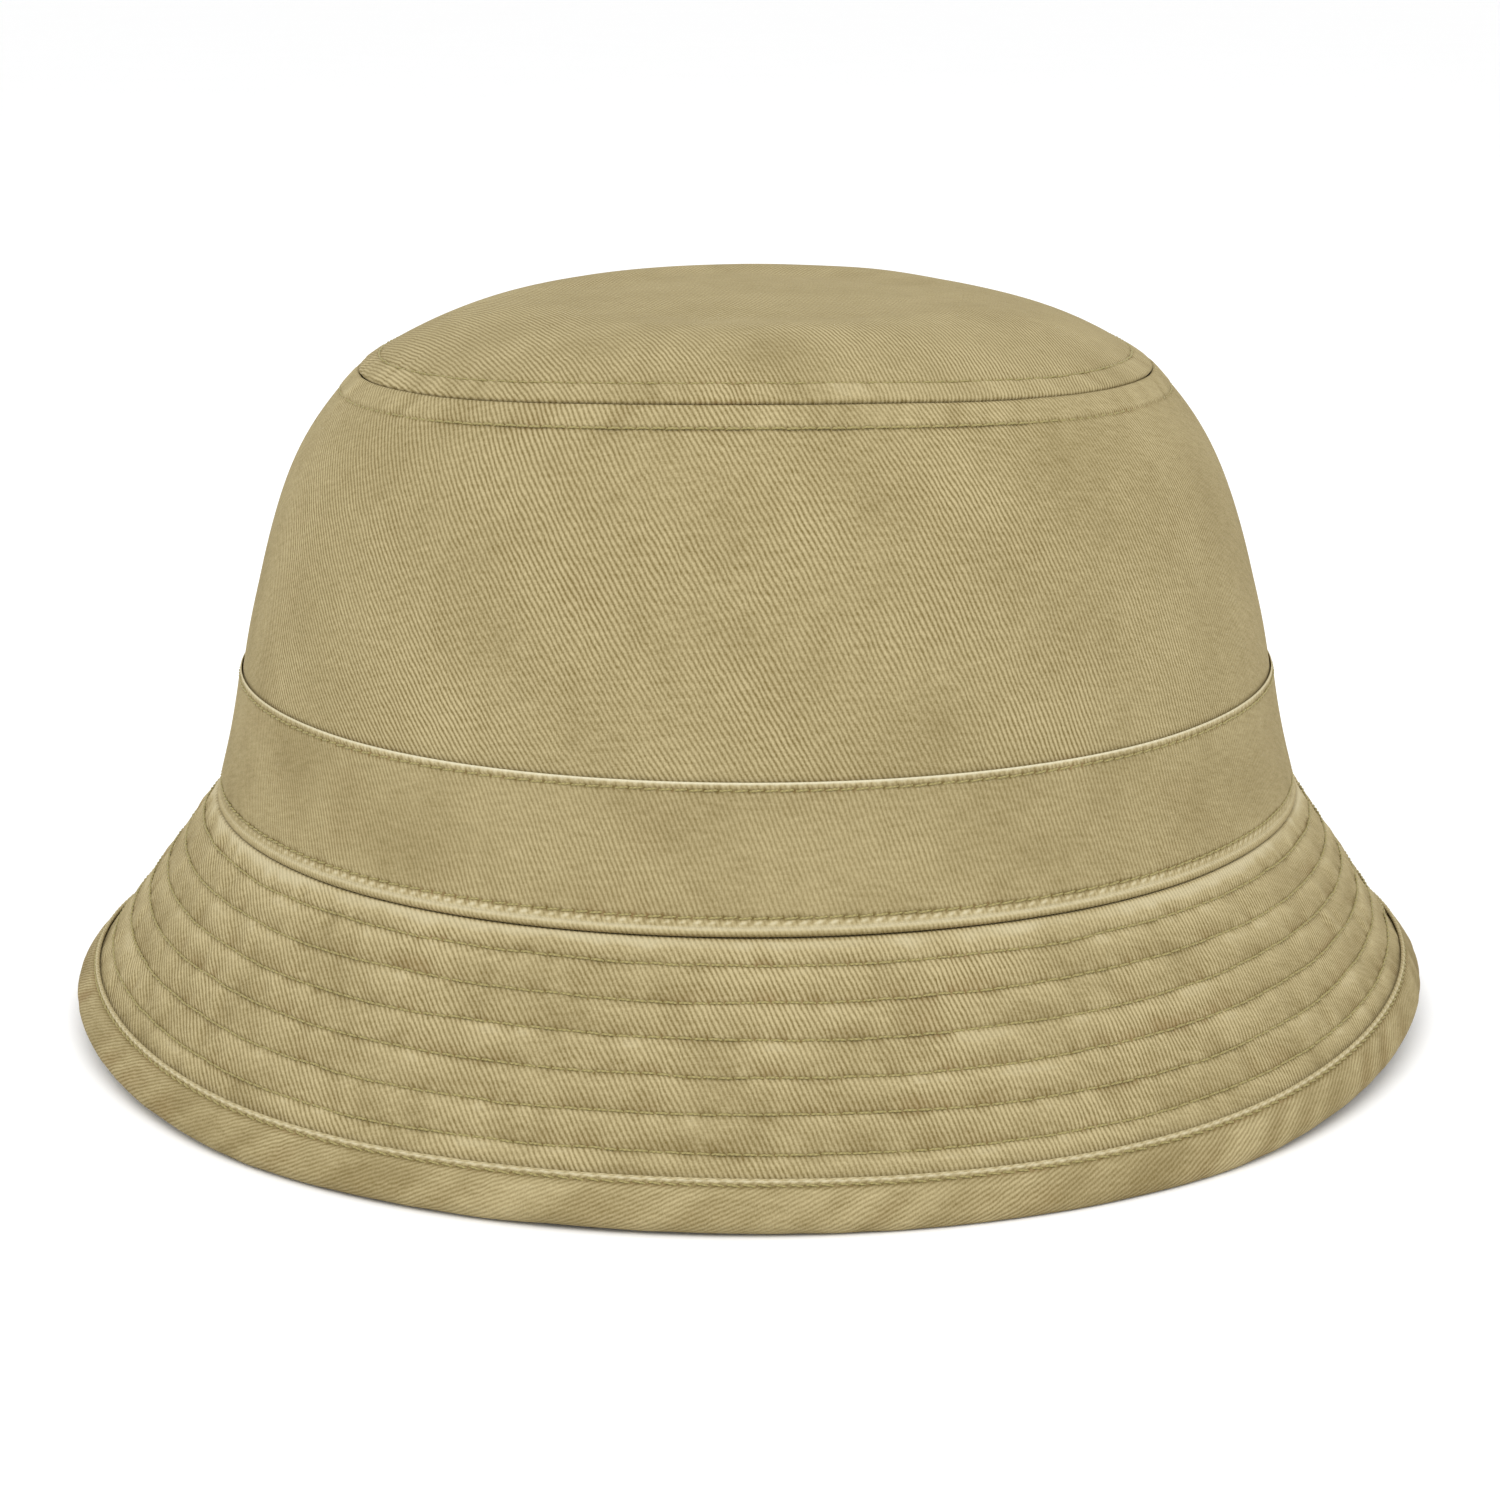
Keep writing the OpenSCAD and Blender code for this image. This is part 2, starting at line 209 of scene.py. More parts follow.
class Pattern:
    """The hat's lines in millimetres: where a point of each layer lies.

    turn is a place round the head line, from 0 at the left side seam over 0.25 at the
    front and 0.5 at the right side seam to 1. out is a distance out from the inner face
    of the sweatband, square to the crown or the brim.
    """

    BRIM_ROWS = 6
    GAP = 0.1  # between two layers
    BAND = 1.0  # thickness of the folded band
    TAPE = 0.4  # thickness of a seam tape
    CANVAS = 1.2  # thickness of the brim's stiffening
    BAND_FACE = 0.52  # from the band's back to its face
    TIP_ROW = 4.2  # from the tip seam to the row of stitching on either side of it
    ALLOWANCE = 8.0  # width of the cloth turned in at a seam
    TURNED_IN = 0.7  # what that cloth adds to a panel's thickness
    SIDE_JOINT = 0.15 / 590  # half of the joint between two panels, as a part of a turn

    def __init__(self, scene):
        shape, cloth = scene.hat_shape, scene.hat_cloth
        self.lean = shape.crown_lean
        self.slant = shape.crown_slant * MM
        self.straight = shape.crown_straight * MM
        self.shoulder = shape.shoulder_radius * MM
        self.slope = shape.tip_slope
        self.tip_radius = shape.tip_radius * MM
        self.tip_rise = shape.tip_rise * MM
        self.brim = shape.brim_slant * MM
        self.brim_lean = shape.brim_lean
        self.brim_rise = shape.brim_rise * MM
        self.brim_shift = shape.brim_shift * MM
        self.band_lift = shape.band_lift * MM
        self.band_top = self.band_lift + shape.band_height * MM
        self.band_top_row = self.band_top - 1.2
        self.band_low_row = self.band_lift + 2.0
        self.sweatband_height = shape.sweatband_height * MM
        self.sweatband_row = self.sweatband_height - 2.0
        self.cloth = cloth.cloth * MM
        self.stitch = cloth.stitch * MM
        self.thread = cloth.thread * MM
        self.puff = cloth.puff * MM
        self.pucker = cloth.pucker * MM
        self.columns = cloth.columns

        low, high = box_mm("sweatband")
        sweat = cloth.sweatband * MM
        self.head_z = low[2]
        self.swing = (high[1] - high[0]) / 2
        self.half_width = high[0] - sweat * math.cos(self.lean)
        self.end_radius = self.half_width - self.swing
        self.side_radius = self.end_radius + 5 * self.swing
        self.join = math.atan2(3, 4)

        gap, t = self.GAP, self.cloth
        self.sweat_out = sweat
        self.under_in = sweat + gap
        self.under_out = self.under_in + t
        self.flange_in = self.under_out + gap
        self.flange_out = self.flange_in + t
        self.crown_in = self.flange_out + gap
        self.crown_out = self.crown_in + t
        self.band_in = self.crown_out + gap
        self.band_out = self.band_in + self.BAND
        self.tape_out = self.crown_out - 2 * t - 2 * gap
        self.tape_in = self.tape_out - self.TAPE
        self.tip_tape_out = -2 * t - 2 * gap
        self.tip_tape_in = self.tip_tape_out - self.TAPE
        self.stiff_in = self.under_out + gap
        self.stiff_out = self.stiff_in + self.CANVAS
        self.top_in = self.stiff_out + gap
        self.top_out = self.top_in + t
        self.binding_in = self.under_in - gap - t
        self.binding_out = self.top_out + gap + t

        self.binding_top = self.brim - shape.binding_width * MM + gap + t
        self.binding_row = self.binding_top + 1.0
        first, last = shape.first_row * MM, shape.last_row * MM
        pitch = (self.binding_top - last - first) / (self.BRIM_ROWS - 1)
        self.rows = [first + i * pitch for i in range(self.BRIM_ROWS)]
        self.tip_arc = self.slope * self.tip_radius
        self.tip_flat = self.end_radius + 3 * self.swing + self.tip_line(self.tip_arc, 0)[0]

        arcs = [self.join, math.pi - 2 * self.join, self.join] * 2
        radii = [self.side_radius, self.end_radius, self.side_radius] * 2
        self.phis = np.concatenate([[-math.pi], -math.pi + np.cumsum(arcs)])
        lengths = np.array(arcs) * np.array(radii)
        self.lengths = np.concatenate([[0], np.cumsum(lengths)])
        self.girth = self.lengths[-1]

    # Round the oval

    def phi(self, turn):
        """Direction that the hat faces at a turn, from -180 to 180 degrees."""
        whole = np.floor(turn)
        return np.interp((turn - whole) * self.girth, self.lengths, self.phis) + TAU * whole

    def along(self, turn, off=0.0):
        """Distance round the hat to a turn, on a line that lies off outside the head line."""
        return turn * self.girth + off * (self.phi(turn) + math.pi)

    def share(self, turn, off):
        """As along, as a share of that line's whole length."""
        return self.along(turn, off) / (self.girth + TAU * off)

    def turn_at(self, share, off):
        """The turn at a share of the way round a line that lies off outside the head line."""
        known = np.linspace(0, 1, 4097)
        return np.interp(share % 1.0, self.share(known, off), known) + np.floor(share)

    def oval(self, turn, off):
        """Where a line that lies off outside the head line runs, seen from above."""
        phi = self.phi(turn)
        c, s = np.cos(phi), np.sin(phi)
        side = np.abs(c) > math.cos(self.join)
        radius = np.where(side, self.side_radius, self.end_radius) + off
        x = np.where(side, -4 * self.swing * np.sign(c), 0) + radius * c
        y = np.where(side, 0, 3 * self.swing * np.sign(s)) + radius * s
        return x, y

    def place(self, turn, off, z):
        """The point at a turn that lies off outside the head line, at height z."""
        x, y = self.oval(turn, off)
        return np.stack(np.broadcast_arrays(x, y, z), -1)

    # Sections: how far outside the head line a point lies, and how high

    def crown_line(self, s, out):
        """A point s up the crown side."""
        a = self.lean + np.maximum(0, s - self.straight) / self.shoulder
        low = np.minimum(s, self.straight)
        sin, cos = math.sin(self.lean), math.cos(self.lean)
        x = -low * sin + self.shoulder * (np.cos(a) - cos) + out * np.cos(a)
        z = self.head_z + low * cos + self.shoulder * (np.sin(a) - sin) + out * np.sin(a)
        return x, z

    def tip_line(self, t, out):
        """A point of the tip, t in from its seam."""
        x0, z0 = self.crown_line(self.slant, self.crown_out)
        x0 -= self.tip_radius * math.sin(self.slope)
        z0 -= self.tip_radius * math.cos(self.slope)
        a = np.maximum(0, self.slope - t / self.tip_radius)
        x = x0 + (self.tip_radius + out) * np.sin(a) - np.maximum(0, t - self.tip_arc)
        return x, z0 + (self.tip_radius + out) * np.cos(a)

    def doubled(self, away):
        """What turned-in cloth adds to a panel's thickness, away from the tip seam."""
        low, high = self.ALLOWANCE - 0.4, self.ALLOWANCE + 0.4
        return self.TURNED_IN * (1 - smooth(low, high, away))

    def pressed(self, turn, s, out):
        """A level of the band, which lies flatter at the sides, most of all at its foot."""
        at_foot = 1 - smooth(self.band_lift + 0.6, self.band_lift + 3.2, s)
        flatter = 1 - (0.30 + 0.25 * at_foot) * np.cos(self.phi(turn)) ** 2
        return self.band_in + (out - self.band_in) * flatter

    def brim_line(self, d, out):
        """A point d down the brim."""
        sin, cos = math.sin(self.brim_lean), math.cos(self.brim_lean)
        return d * sin + out * cos, self.head_z - d * cos + out * sin

    def wander(self, turn, d):
        """How far the stitching of the brim strays from its line."""
        slow, quick = ripple(301, turn, d, 19, 9), ripple(302, turn, d, 59, 5)
        return 0.26 * slow + 0.16 * quick + 0.09 * ripple(303, turn, d, 151, 3)

    # Points of the hat, with the hang of the cloth

    def crown(self, turn, s, out):
        """A point s up the crown side, which bulges a little."""
        x, z = self.crown_line(s, out)
        x = x + 0.87 * near(s, 62, 14) + 0.42 * near(s, 31, 9) - 0.45 * near(s, 8, 9)
        rise = self.tip_rise * np.sin(self.phi(turn)) ** 2 * smooth(28, self.slant, s)
        return self.place(turn, x, z + rise)

    def tip(self, turn, t, out):
        """A point of the tip, t in from its seam."""
        x, z = self.tip_line(t, out)
        x = x + 0.87 * near(self.slant, 62, 14) * near(t, 0, 8)
        rise = self.tip_rise * np.sin(self.phi(turn)) ** 2 * (1 - smooth(0, 46, t))
        return self.place(turn, x, z + rise)

    def brim_point(self, turn, d, out):
        """A point d down the brim, which rises at the sides and flares at front and back."""
        x, z = self.brim_line(d, out)
        phi = self.phi(turn)
        c, q = np.cos(phi), np.sin(2 * phi) ** 2
        quarter = np.where(np.sin(phi) > 0, 0.35, np.where(c < 0, -0.97, -0.13))
        hang = self.brim_rise * c**6 + quarter * q - 1.64 * c + 2.14 * c**3
        share = np.clip(d / self.brim, 0, 1.1) ** 1.2
        flare = (0.48 * np.sin(phi) ** 4 + 0.24 * q) * share
        point = self.place(turn, x + flare, z + hang * share)
        point[..., 0] -= self.brim_shift * share
        return point

    # Flat cuts: where a point lies on the piece before it is sewn

    def fan(self, turn, lean, v):
        """Place on a panel cut as part of a ring, as a leaning side needs; v is up."""
        known = np.linspace(-0.27, 1.02, 2581)
        phi = self.phi(known)
        bend = (phi - self.phi(np.array(0.25))) * math.sin(lean)
        middle = (bend[1:] + bend[:-1]) / 2
        step = np.diff(known) * self.girth
        x = np.concatenate([[0], np.cumsum(step * np.cos(middle))])
        y = np.concatenate([[0], np.cumsum(step * np.sin(middle))])
        front = np.argmin(np.abs(known - 0.25))
        x, y = x - x[front], y - y[front]
        b = np.interp(turn, known, bend)
        u = np.interp(turn, known, x) - v * np.sin(b)
        w = np.interp(turn, known, y) + v * np.cos(b)
        return np.stack(np.broadcast_arrays(u, w), -1)


# --- Meshes -----------------------------------------------------------------


def quads(grid):
    """The four-sided faces of a grid of corner numbers."""
    corners = [grid[:-1, :-1], grid[:-1, 1:], grid[1:, 1:], grid[1:, :-1]]
    return np.stack(corners, -1).reshape(-1, 4)


def numbered(rows, columns, wrap_rows=False, wrap_columns=False):
    """Numbers of a grid's corners; a wrapped grid ends with its first row or column."""
    grid = np.arange(rows * columns).reshape(rows, columns)
    return np.pad(grid, ((0, int(wrap_rows)), (0, int(wrap_columns))), mode="wrap")


def flat_map(along, up):
    """Places on a flat cut from the distances along it and up it, in millimetres."""
    return np.stack(np.broadcast_arrays(along, up), -1)


def make_piece(name, points, faces, uv, uv_faces, shade=None):
    """A mesh object from points in millimetres; faces is a list of arrays of corners."""
    mesh = bpy.data.meshes.new(name)
    corner = np.concatenate([f.ravel() for f in faces]).astype(np.int32)
    counts = np.concatenate([np.full(len(f), f.shape[1]) for f in faces])
    starts = np.concatenate([[0], np.cumsum(counts)[:-1]]).astype(np.int32)
    mesh.vertices.add(len(points))
    mesh.vertices.foreach_set("co", (points / MM).astype(np.float32).ravel())
    mesh.loops.add(len(corner))
    mesh.loops.foreach_set("vertex_index", corner)
    mesh.polygons.add(len(starts))
    mesh.polygons.foreach_set("loop_start", starts)
    chosen = np.concatenate([f.ravel() for f in uv_faces])
    layer = mesh.uv_layers.new(name="cloth")
    layer.uv.foreach_set("vector", uv[chosen].astype(np.float32).ravel())
    # The point attribute holds real wear and random tone, and also painted highlights and painted
    # shade that the cloth materials turn into colour.
    if shade is not None:
        field = mesh.attributes.new("wear_and_painted_light", "FLOAT", "POINT")
        field.data.foreach_set("value", shade.astype(np.float32).ravel())
    mesh.update(calc_edges=True)
    mesh.shade_smooth()
    if volume_of(mesh) < 0:
        mesh.flip_normals()
    piece = bpy.data.objects.new(name, mesh)
    bpy.context.scene.collection.objects.link(piece)
    return piece


def volume_of(mesh):
    """Volume inside a mesh, below 0 where its faces look inwards."""
    mesh.calc_loop_triangles()
    corner = np.empty(len(mesh.loop_triangles) * 3, np.int32)
    mesh.loop_triangles.foreach_get("vertices", corner)
    co = np.empty(len(mesh.vertices) * 3, np.float32)
    mesh.vertices.foreach_get("co", co)
    p = co.reshape(-1, 3).astype(float)[corner.reshape(-1, 3)]
    return float((p[:, 0] * np.cross(p[:, 1], p[:, 2])).sum() / 6)


def shell_faces(grid, inner, wrap):
    """Faces over the outer side, the inner side and the edges of a sheet.

    grid holds the numbers of the outer corners, and inner is added for the inner ones.
    """
    lines = [grid[0, ::-1], grid[-1]]
    if not wrap:
        lines += [grid[:, 0], grid[::-1, -1]]
    edges = [quads(np.stack([line, line + inner])) for line in lines]
    return np.concatenate([quads(grid), inner + quads(grid)[:, ::-1], *edges])


def make_shell(name, slot, outer, inner, uv, wear_and_painted_light, wrap=False):
    """A closed sheet of cloth between two grids of points, rows by columns."""
    rows, columns = outer.shape[:2]
    points = np.concatenate([outer.reshape(-1, 3), inner.reshape(-1, 3)])
    faces = shell_faces(numbered(rows, columns, False, wrap), rows * columns, wrap)
    maps = shell_faces(numbered(*uv.shape[:2]), 0, wrap)
    wear_and_painted_light = np.concatenate([np.broadcast_to(wear_and_painted_light, (rows, columns)).ravel()] * 2)
    piece = make_piece(name, points, [faces], uv.reshape(-1, 2), [maps], wear_and_painted_light)
    finish_piece(piece, name, slot)


def make_ring(name, slot, section, uv, wear_and_painted_light):
    """A closed ring of cloth from a closed section of points, section by columns."""
    rows, columns = section.shape[:2]
    faces = quads(numbered(rows, columns, True, True))
    maps = quads(numbered(rows + 1, columns + 1))
    wear_and_painted_light = np.broadcast_to(wear_and_painted_light, (rows, columns)).ravel()
    piece = make_piece(name, section.reshape(-1, 3), [faces], uv.reshape(-1, 2), [maps], wear_and_painted_light)
    finish_piece(piece, name, slot)


def section_of(*parts):
    """Columns of values round a section, where a single value holds for its whole part."""
    parts = [np.broadcast_arrays(*part) for part in parts]
    return [np.concatenate(values)[:, None] for values in zip(*parts)]


def round_section(s, out, closing):
    """Distance round a closed section to each of its points, and on to the first again."""
    steps = np.hypot(np.diff(s[:, 0]), np.diff(out[:, 0]))
    return np.cumsum(np.concatenate([[0], steps, [closing]]))[:, None]


def strip_cut(length, width):
    """Width, length and area of a plain strip, in metres."""
    return length / MM, width / MM, length * width / MM**2


def finish_piece(piece, node, slot):
    """Gives a piece its finish and its node's place in the frame, and cloth its flat size."""
    piece.data.materials.append(finish(slot))
    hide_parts(node)
    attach(piece, "root")


def ladder(*parts):
    """Stations from (from, to, step) parts, with no doubles."""
    out = []
    for low, high, step in parts:
        n = max(1, int(round(abs(high - low) / step)))
        out.append(np.linspace(low, high, n + 1))
    values = np.concatenate(out)
    keep = np.concatenate([[True], np.abs(np.diff(values)) > 1e-6])
    return values[keep]


def whole_turn(p):
    """Turns of the columns of points all round the hat, and those of its map."""
    turn = np.linspace(0, 1, p.columns + 1)[None, :]
    return turn[:, :-1], turn


def halves(p):
    """The front and the back panel: name, turns of its points, and turns on its cut."""
    for name, start in (("front", 0.0), ("back", 0.5)):
        low, high = start + p.SIDE_JOINT, start + 0.5 - p.SIDE_JOINT
        turn = np.linspace(low, high, int(round(p.columns * (high - low))) + 1)[None, :]
        yield name, turn, turn - start


# --- Materials --------------------------------------------------------------


class Nodes:
    """Short hands for building a material."""

    def __init__(self, name):
        self.material = bpy.data.materials.new(name)
        self.material.use_nodes = True
        self.tree = self.material.node_tree
        self.tree.nodes.clear()
        self.surface = self.tree.nodes.new("ShaderNodeBsdfPrincipled")
        output = self.tree.nodes.new("ShaderNodeOutputMaterial")
        self.link(self.surface.outputs[0], output.inputs["Surface"])

    def link(self, a, b):
        self.tree.links.new(a, b)

    def put(self, value, socket):
        """Links a node's output to a socket, or sets the socket to a number or a colour."""
        if isinstance(value, bpy.types.NodeSocket):
            self.link(value, socket)
        elif isinstance(value, (int, float)):
            socket.default_value = value
        else:
            socket.default_value = (*value[:3], 1)

    def math(self, operation, *values):
        node = self.tree.nodes.new("ShaderNodeMath")
        node.operation = operation
        for socket, value in zip(node.inputs, values):
            self.put(value, socket)
        return node.outputs[0]

    def add(self, a, b):
        return self.math("ADD", a, b)

    def times(self, a, b):
        return self.math("MULTIPLY", a, b)

    def scaled(self, value, by, plus):
        return self.math("MULTIPLY_ADD", value, by, plus)

    def wave(self, phase):
        """A wave from 0 to 1 for each whole number of the phase."""
        return self.scaled(self.math("SINE", self.times(phase, TAU)), 0.5, 0.5)

    def uv(self):
        node = self.tree.nodes.new("ShaderNodeUVMap")
        node.uv_map = "cloth"
        split = self.tree.nodes.new("ShaderNodeSeparateXYZ")
        self.link(node.outputs[0], split.inputs[0])
        return node.outputs[0], split.outputs[0], split.outputs[1]

    def wear_and_painted_light(self):
        node = self.tree.nodes.new("ShaderNodeAttribute")
        node.attribute_name = "wear_and_painted_light"
        return node.outputs["Fac"]

    def noise(self, vector, scale, detail=2.0, roughness=0.5):
        node = self.tree.nodes.new("ShaderNodeTexNoise")
        node.inputs["Scale"].default_value = scale
        node.inputs["Detail"].default_value = detail
        node.inputs["Roughness"].default_value = roughness
        self.link(vector, node.inputs["Vector"])
        return node.outputs[0]

    def grain(self, vector, fineness, detail=2.0, roughness=0.5, turned=0.0):
        """Noise with its own fineness, in waves a millimetre, along and across the cut."""
        node = self.tree.nodes.new("ShaderNodeMapping")
        node.inputs["Scale"].default_value = (*fineness, 1)
        node.inputs["Rotation"].default_value = (0, 0, turned)
        self.link(vector, node.inputs["Vector"])
        return self.noise(node.outputs[0], 1.0, detail, roughness)

    def mix(self, factor, a, b):
        node = self.tree.nodes.new("ShaderNodeMix")
        node.data_type = "RGBA"
        node.clamp_factor = True
        for socket, value in zip((node.inputs[0], node.inputs[6], node.inputs[7]), (factor, a, b)):
            self.put(value, socket)
        return node.outputs[2]

    def bump(self, height, distance, strength):
        node = self.tree.nodes.new("ShaderNodeBump")
        node.inputs["Strength"].default_value = strength
        node.inputs["Distance"].default_value = distance
        self.link(height, node.inputs["Height"])
        self.link(node.outputs[0], self.surface.inputs["Normal"])

    def coat(self, colour, roughness, shine):
        """Gives the surface its colour, roughness and shine, and returns the material."""
        self.put(colour, self.surface.inputs["Base Color"])
        self.put(roughness, self.surface.inputs["Roughness"])
        self.put(shine, self.surface.inputs["Specular IOR Level"])
        return self.material


def faded(colour, share):
    """A darker or paler share of a colour."""
    return [c * share for c in colour]


def twill(name, colours, wale=118.0, pitch=0.70, contrast=1.2):
    """Garment-washed twill. wale is the ribs' direction on the cut, in degrees from its width.

    A rib is a row of short floats, so along a rib small bulges follow one another, and
    the dye has worn off the ribs' tops more than out of the furrows. Wear above 0 fades
    the cloth, most of all where it passes pale_from, and wear below 0 leaves it dark.
    """
    n = Nodes(name)
    vector, u, v = n.uv()
    a = math.radians(wale)
    float_length, pale_from, rust_from = 0.6, 0.45, 0.47
    slow = n.grain(vector, (0.05, 0.05), 3.0)
    wander = n.grain(vector, (0.45, 0.16))
    across = n.scaled(u, math.sin(a) / pitch, n.times(v, -math.cos(a) / pitch))
    across = n.add(across, n.times(wander, 0.9))
    rib = n.math("POWER", n.wave(across), 0.85)
    run = n.scaled(u, math.cos(a) / float_length, n.times(v, math.sin(a) / float_length))
    run = n.scaled(n.grain(vector, (1.1, 1.1)), 4.0, run)
    bulge = n.wave(n.scaled(across, 0.5, run))
    fibre = n.grain(vector, (4.5, 1.6), 3.0, 0.65, a)
    slub = n.grain(vector, (0.30, 1.5))
    height = n.times(rib, n.scaled(bulge, 0.3, 0.7))
    n.bump(n.scaled(fibre, 0.35, height), 0.00011, 0.75)

    crisp = n.scaled(slow, 2.2, -0.15)
    light = n.scaled(n.times(n.add(rib, -0.5), 0.52 * contrast), crisp, 0.5)
    light = n.add(light, n.scaled(bulge, 0.12 * contrast, -0.06 * contrast))
    light = n.add(light, n.scaled(fibre, 0.70, -0.35))
    light = n.add(light, n.scaled(slub, 0.44, -0.22))
    light = n.add(light, n.scaled(slow, 0.24, -0.12))
    # Painted light: the point attribute lightens the cloth where it paints a highlight and darkens
    # it where it paints shade, besides carrying real wear and tone.
    wear_and_painted_light = n.wear_and_painted_light()
    up = n.math("MAXIMUM", wear_and_painted_light, 0.0)
    down = n.math("MAXIMUM", n.times(wear_and_painted_light, -1.0), 0.0)
    light = n.add(light, n.scaled(up, 0.42, n.times(down, -0.26)))
    cloth = n.mix(light, colours.furrow, colours.rib)
    # Painted shade, partly darker dye in seams: the shade colour is mixed in where the attribute
    # is below 0.
    cloth = n.mix(n.times(down, 0.42), cloth, colours.shade)
    warm = n.times(n.math("MAXIMUM", n.add(slow, -rust_from), 0.0), down)
    cloth = n.mix(n.times(warm, 2.2), cloth, colours.rust)
    # The pale colour is mixed in where the attribute is high: bare rubbed cotton, and painted
    # highlight on the ridges of the band and the binding.
    pale = n.times(n.add(up, -pale_from), 0.85)
    cloth = n.mix(n.math("MAXIMUM", pale, 0.0), cloth, colours.worn_and_lit)
    n.surface.inputs["Sheen Weight"].default_value = 0.01
    n.surface.inputs["Sheen Roughness"].default_value = 0.5
    n.surface.inputs["Sheen Tint"].default_value = (0.95, 0.90, 0.74, 1)
    return n.coat(cloth, n.scaled(fibre, 0.14, 0.80), 0.08)


def plain_weave(name, colour, dark, pitch):
    """Plain weave: warp and weft pass over each other by turns."""
    n = Nodes(name)
    vector, u, v = n.uv()
    wander = n.grain(vector, (0.3, 0.3))
    warp = n.math("SINE", n.times(n.scaled(wander, 0.6, u), TAU / pitch))
    weft = n.math("SINE", n.times(n.scaled(wander, 0.6, v), TAU / pitch))
    weave = n.scaled(n.times(warp, weft), 0.5, 0.5)
    fibre = n.grain(vector, (3.0, 3.0), 3.0, 0.6)
    n.bump(n.scaled(fibre, 0.4, weave), 0.00008, 0.7)
    light = n.scaled(weave, 0.5, n.scaled(fibre, 0.7, -0.1))
    light = n.add(light, n.times(n.wear_and_painted_light(), 0.25))
    return n.coat(n.mix(light, dark, colour), n.scaled(fibre, 0.1, 0.8), 0.15)


def spun_thread(name, colour):
    """Sewing thread: three plies twisted together, a little shiny."""
    n = Nodes(name)
    vector, u, v = n.uv()
    ply = n.wave(n.scaled(u, 3.2, v))
    fuzz = n.grain(vector, (6.0, 3.0))
    n.bump(ply, 0.00004, 0.6)
    # Each ply painted paler on its crest and darker between the plies: painted highlight and
    # painted shade along the twist.
    light = n.scaled(ply, 0.55, n.times(fuzz, 0.45))
    pale = [min(1.0, c) for c in faded(colour, 1.22)]
    return n.coat(n.mix(light, faded(colour, 0.62), pale), n.scaled(fuzz, 0.2, 0.5), 0.35)


TWILLS = {
    "crown_twill": {"wale": 118.0},
    "brim_twill": {"wale": 116.0},
    "brim_under_twill": {"wale": 118.0, "contrast": 1.3},
    "band_twill": {"wale": 111.0, "contrast": 0.75},
    "binding_twill": {"wale": 27.0, "pitch": 0.62, "contrast": 0.8},
}


def finish(slot):
    """The finish for a material slot, made the first time that it is asked for."""
    name = slot.replace("_", " ")
    if name in bpy.data.materials:
        return bpy.data.materials[name]
    colours = bpy.context.scene.hat_colours
    if slot in TWILLS:
        return twill(name, colours, **TWILLS[slot])
    if slot == "khaki_thread":
        return spun_thread(name, colours.thread)
    rib, canvas, label = colours.rib, colours.canvas, colours.label
    weaves = {
        "interlining_canvas": (canvas, faded(canvas, 0.7), 0.8),
        "sweatband_cotton": (faded(rib, 0.95), colours.furrow, 0.5),
        "seam_tape": (faded(rib, 0.88), colours.furrow, 0.6),
        "label_cotton": (label, faded(label, 0.72), 0.3),
    }
    return plain_weave(name, *weaves[slot])


# --- Relief of the cloth, with its wear and painted light and shade ---------


def stitch_count(p, off):
    """Number of stitches on a row that runs off outside the head line."""
    return int(round((p.girth + TAU * off) / p.stitch))


def stitch_place(p, turn, off):
    """Place along a row of stitches; the needle goes in at each whole number."""
    return p.share(turn, off) * stitch_count(p, off)


def needle_holes(p, turn, off, along, at, wide):
    """1 where the needle goes in on a row that lies at `at`, falling to 0 around it."""
    place = stitch_place(p, turn, off)
    to_hole = np.abs(place - np.round(place)) * p.stitch
    return near(to_hole, 0, wide) * near(along, at, wide)


def seam_dip(p, turn, deep, wide):
    """The dip where the front and back panels meet at the two sides."""
    away = np.abs((turn + 0.25) % 0.5 - 0.25) * p.girth
    return -deep * np.exp(-away / wide)


def seam_strip(p, turn, away, off, seed):
    """Relief and wear beside the tip seam; away is the distance from the seam.

    Between the seam and its row of stitching the cloth lies on its own turned-in edge,
    so it stands proud, and the stitching draws small slanting creases into it.
    """
    row, slanted = p.TIP_ROW, turn + away * 0.0011
    lines = 0.6 * ripple(seed, slanted, away * 0 + 3, 121, 50)
    lines = lines + 0.4 * ripple(seed + 1, slanted, away * 0, 227, 50)
    strip = (1 - smooth(row - 0.7, row + 0.6, away)) * smooth(0, 0.9, away)
    pull = np.exp(-np.abs(away - row) / 3.0) * (1 - smooth(8, 22, away))
    groove, lip = near(away, row, 0.38), np.exp(-away / 0.24)
    hole = needle_holes(p, turn, off, away, row, 0.34)
    dash = np.cos(TAU * stitch_place(p, turn, off))
    h = 0.13 * strip + (0.12 * pull + 0.08 * strip) * lines
    front = 1 - 0.6 * np.cos(p.phi(turn)) ** 2
    h = h - 0.13 * groove - 0.46 * lip * front - 0.08 * hole
    # Painted highlight on the proud strip and its creases; painted shade, dashed, in the seam, the
    # stitching groove and the needle holes.
    wear_and_painted_light = (0.14 + 0.30 * lines) * strip + 0.16 * pull * lines
    wear_and_painted_light = wear_and_painted_light - 0.30 * groove - 0.5 * hole - (0.56 + 0.56 * dash) * lip * front
    return h, wear_and_painted_light


